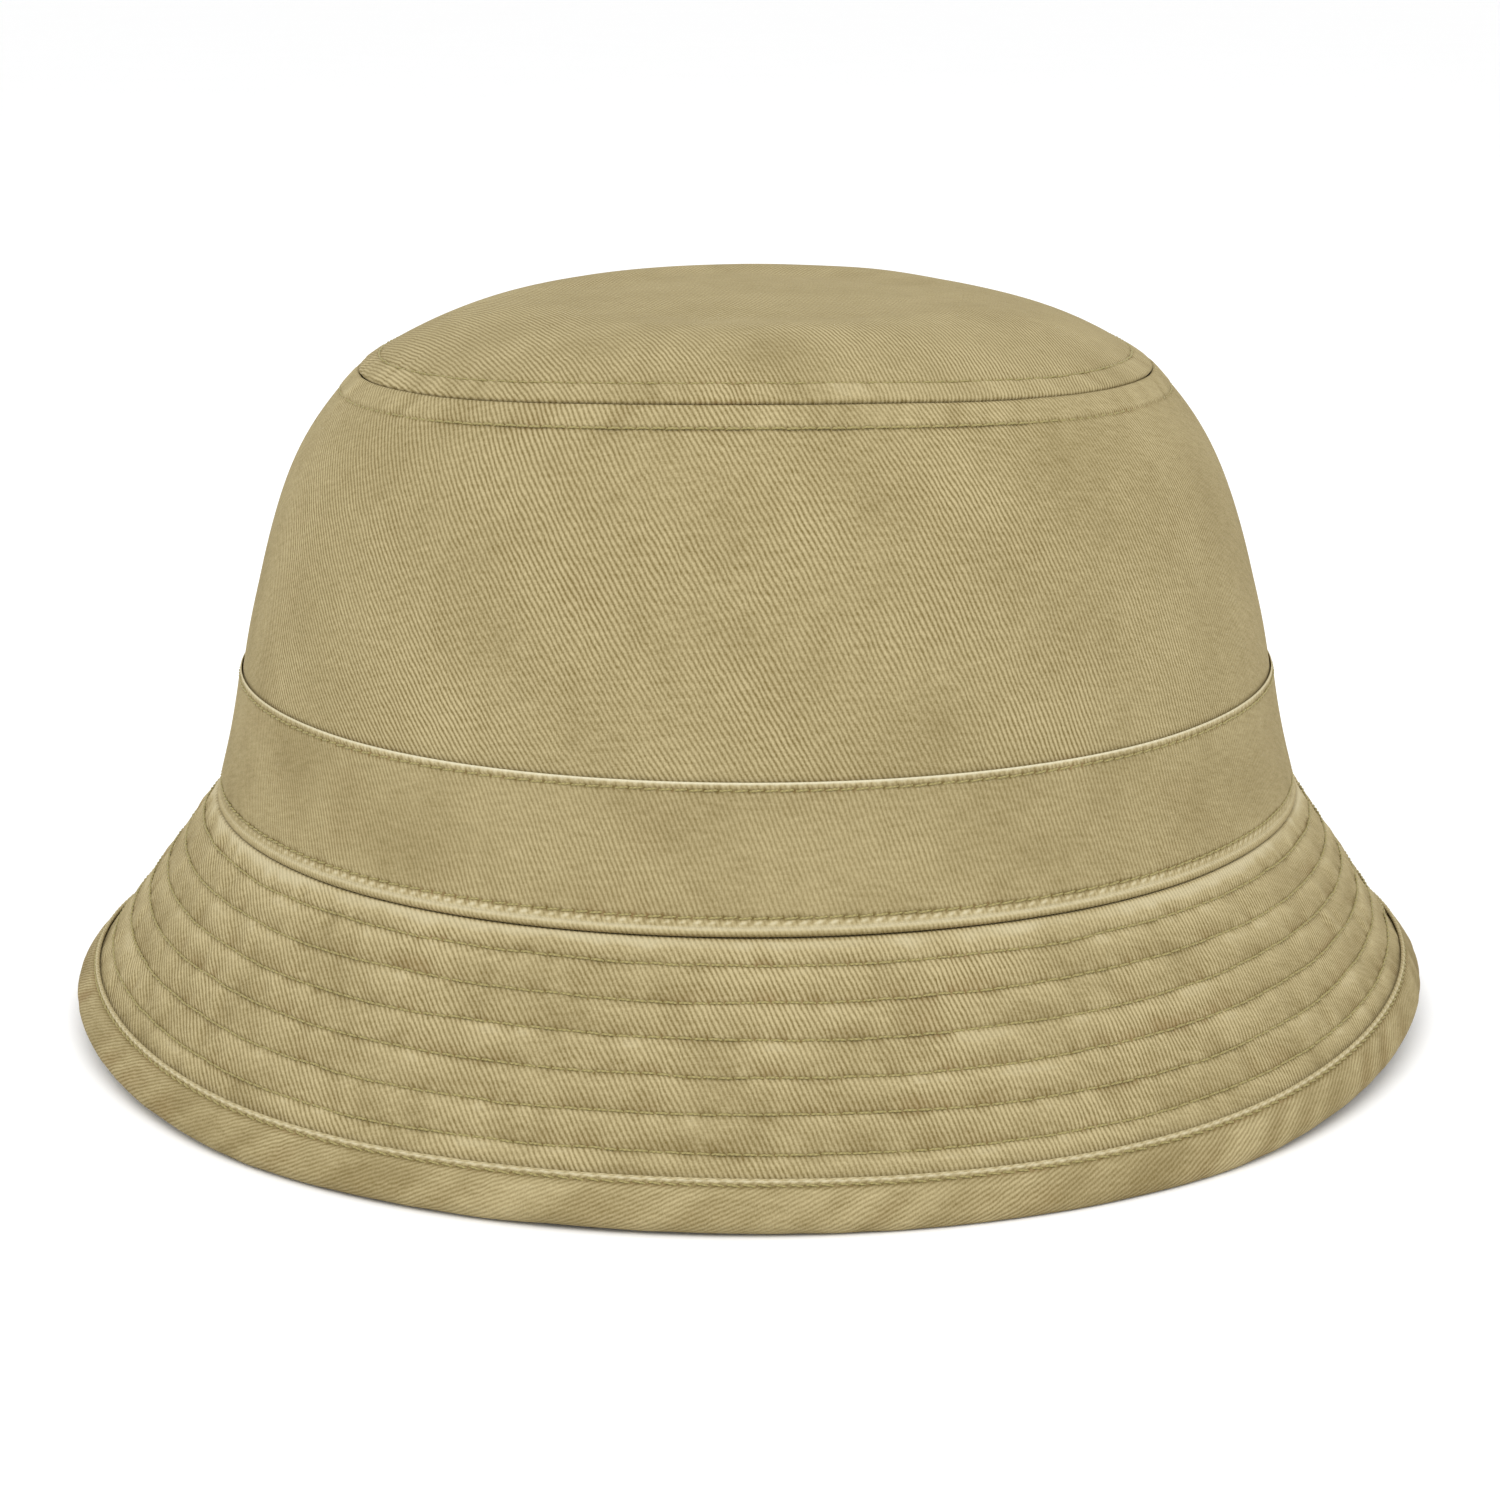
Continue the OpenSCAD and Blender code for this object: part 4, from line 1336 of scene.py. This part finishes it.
def band_stitching(scene):
    """The two rows that hold the band."""
    p = Pattern(scene)

    def on_band(turn, s, out):
        return p.crown(turn, s, p.pressed(turn, s, out))

    for name, s, face, inside, seed in (
        ("band_stitch_top", p.band_top_row, p.BAND_FACE, p.crown_in - p.GAP - p.TAPE, 5),
        ("band_stitch_bottom", p.band_low_row, p.BAND_FACE + 0.38, 0.0, 7),
    ):
        off = p.crown_line(s, p.band_out)[0]
        out = p.band_in + face
        thread_piece(
            name,
            stitch_row(p, on_band, s, out, off, seed=seed, sunk=0.13, slant=0.5),
            stitch_row(p, p.crown, s, inside, off, -1, seed=seed + 1),
        )


def brim_stitching(scene):
    """The rows that quilt the brim, and the one that holds the binding."""
    p = Pattern(scene)
    put, stray = p.brim_point, p.wander
    for i, d in enumerate(p.rows):
        off, low = p.brim_line(d, p.top_out)[0], p.brim_line(d, p.under_in)[0]
        thread_piece(
            f"brim_stitch_row_{i + 1}",
            stitch_row(p, put, d, p.top_out, off, seed=20 + i, sunk=0.11, stray=stray),
            stitch_row(p, put, d, p.under_in, low, -1, seed=40 + i, sunk=0.12, stray=stray),
        )
    d = p.binding_row
    off = p.brim_line(d, p.binding_out)[0]
    thread_piece(
        "binding_stitch",
        stitch_row(p, put, d, p.binding_out, off, seed=61, sunk=0.30, slant=0.8),
        stitch_row(p, put, d, p.binding_in, off, -1, seed=62, sunk=0.26),
    )


def sweatband_stitching(scene):
    """The row along the sweatband's upper edge."""
    p = Pattern(scene)
    s = p.sweatband_row
    thread_piece(
        "sweatband_stitch",
        stitch_row(p, p.crown, s, 0.0, 0.0, -1, seed=71, sunk=-0.12),
        stitch_row(p, p.crown, s, p.sweat_out, 0.0, seed=72, sunk=0.1),
    )


# --- Stage ------------------------------------------------------------------


def soft_light(name, where, size, power):
    """A large soft lamp that shines on the middle of the hat."""
    light = bpy.data.lights.new(name, "AREA")
    light.shape = "RECTANGLE"
    light.size, light.size_y = size
    light.energy = power
    lamp = bpy.data.objects.new(name, light)
    bpy.context.scene.collection.objects.link(lamp)
    lamp.location = where
    toward = Vector((0, 0, 0.06)) - Vector(where)
    lamp.rotation_euler = toward.to_track_quat("-Z", "Y").to_euler()


def lay_floor(scene, half=12.0):
    """A wide pale floor under the hat."""
    mesh = bpy.data.meshes.new("floor")
    corners = [(-half, -half, 0), (half, -half, 0), (half, half, 0), (-half, half, 0)]
    mesh.from_pydata(corners, [], [(0, 1, 2, 3)])
    floor = bpy.data.objects.new("floor", mesh)
    scene.collection.objects.link(floor)
    n = Nodes("pale floor")
    coordinates = n.tree.nodes.new("ShaderNodeTexCoord")
    grain = n.noise(coordinates.outputs["Object"], 6.0)
    colour = scene.hat_colours.floor
    mesh.materials.append(n.coat(n.mix(grain, faded(colour, 0.985), colour), 0.8, 0.1))


def set_lights(scene, stage):
    """Even white light from all round, and soft lamps."""
    world = bpy.data.worlds.new("studio")
    world.use_nodes = True
    background = world.node_tree.nodes["Background"]
    background.inputs["Color"].default_value = (1, 1, 1, 1)
    background.inputs["Strength"].default_value = stage.sky
    scene.world = world
    soft_light("key", (-0.05, -0.95, 1.3), (1.4, 1.0), stage.key)
    soft_light("left fill", (-1.3, -0.5, 0.5), (0.9, 1.1), stage.fill)
    soft_light("right fill", (1.3, -0.5, 0.5), (0.9, 1.1), stage.fill)
    soft_light("back fill", (0.0, 1.3, 0.9), (1.2, 0.8), stage.fill)


def set_camera(scene, stage, head_z):
    """The camera, a little above the hat, with the hat a little off its middle."""
    look_above, aim_right, aim_up, tilt = 0.0011, -0.0011, 0.0038, math.radians(-0.17)
    data = bpy.data.cameras.new("camera")
    data.lens = stage.lens
    data.sensor_width = 36
    data.clip_start = 0.01
    data.clip_end = 60
    camera = bpy.data.objects.new("camera", data)
    scene.collection.objects.link(camera)
    cos, sin = math.cos(stage.elevation), math.sin(stage.elevation)
    look = Vector((0, 0, head_z / MM + look_above))
    where = look + stage.distance * Vector((0, -cos, sin))
    aim = look + aim_up * Vector((0, sin, cos)) + Vector((aim_right, 0, 0))
    facing = (aim - where).to_track_quat("-Z", "Y").to_matrix().to_4x4()
    camera.matrix_world = Matrix.Translation(where) @ facing @ Matrix.Rotation(tilt, 4, "Z")
    scene.camera = camera
    scene.view_settings.view_transform = "Standard"
    scene.view_settings.look = "None"


def build_stage(scene):
    """The floor, the light and the camera."""
    lay_floor(scene)
    set_lights(scene, scene.hat_stage)
    set_camera(scene, scene.hat_stage, Pattern(scene).head_z)


# --- Operators and panel ----------------------------------------------------


def operator(idname, label, doc, work):
    """An operator that makes one piece or one group of like pieces."""

    def execute(self, context):
        work(context.scene)
        return {"FINISHED"}

    content = {
        "bl_idname": "hat." + idname,
        "bl_label": label,
        "__doc__": doc,
        "bl_options": {"REGISTER", "UNDO"},
        "execute": execute,
    }
    return type("HAT_OT_" + idname, (bpy.types.Operator,), content)


OPERATORS = [
    operator("crown_tip", "Crown tip", "Cuts the flat top of the crown", crown_tip_piece),
    operator("crown_sides", "Crown sides", "Cuts the two side panels", crown_side_pieces),
    operator("outer_band", "Outer band", "Folds the band round the crown", outer_band_piece),
    operator("brim_top", "Brim top", "Cuts and quilts the brim's upper layer", brim_top_pieces),
    operator("brim_under", "Brim under", "Cuts the brim's under layer", brim_under_pieces),
    operator("brim_stiffening", "Stiffening", "Cuts the brim's canvas", brim_stiffening_piece),
    operator("edge_binding", "Edge binding", "Folds the binding", edge_binding_piece),
    operator("sweatband", "Sweatband", "Makes the sweatband", sweatband_piece),
    operator("seam_tapes", "Seam tapes", "Lays the tapes over the seams", seam_tape_pieces),
    operator("blank_label", "Blank label", "Makes the plain tab", blank_label_piece),
    operator("crown_stitching", "Crown stitching", "Sews the tip seam", crown_stitching),
    operator("band_stitching", "Band stitching", "Sews the band on", band_stitching),
    operator("brim_stitching", "Brim stitching", "Sews the brim's rows", brim_stitching),
    operator("inner_stitching", "Sweatband stitching", "Sews the sweatband", sweatband_stitching),
    operator("stage", "Stage", "Sets the floor, the light and the camera", build_stage),
]


class HAT_PT_sewing(bpy.types.Panel):
    """Lists the hat's pieces in the order in which they are made"""

    bl_label = "Bucket hat"
    bl_idname = "HAT_PT_sewing"
    bl_space_type = "VIEW_3D"
    bl_region_type = "UI"
    bl_category = "Hat"

    def draw(self, context):
        layout = self.layout
        for kind in OPERATORS:
            layout.operator(kind.bl_idname)
        for group in ("hat_shape", "hat_cloth", "hat_colours", "hat_stage"):
            settings = getattr(context.scene, group)
            box = layout.box()
            for name in settings.bl_rna.properties.keys():
                if name not in ("rna_type", "name"):
                    box.prop(settings, name)


GROUPS = {
    "hat_shape": HatShape,
    "hat_cloth": HatCloth,
    "hat_colours": HatColours,
    "hat_stage": HatStage,
}


def register():
    """Adds the settings, the operators and the panel."""
    for kind in [*GROUPS.values(), *OPERATORS, HAT_PT_sewing]:
        bpy.utils.register_class(kind)
    for name, kind in GROUPS.items():
        setattr(bpy.types.Scene, name, PointerProperty(type=kind))


def unregister():
    """Takes away what register adds."""
    for name in GROUPS:
        delattr(bpy.types.Scene, name)
    for kind in [HAT_PT_sewing, *OPERATORS[::-1], *list(GROUPS.values())[::-1]]:
        bpy.utils.unregister_class(kind)


def main():
    """Makes the hat and its stage, and writes down its size."""
    register()
    for kind in OPERATORS:
        group, name = kind.bl_idname.split(".")
        getattr(getattr(bpy.ops, group), name)()


if __name__ == "__main__":
    main()
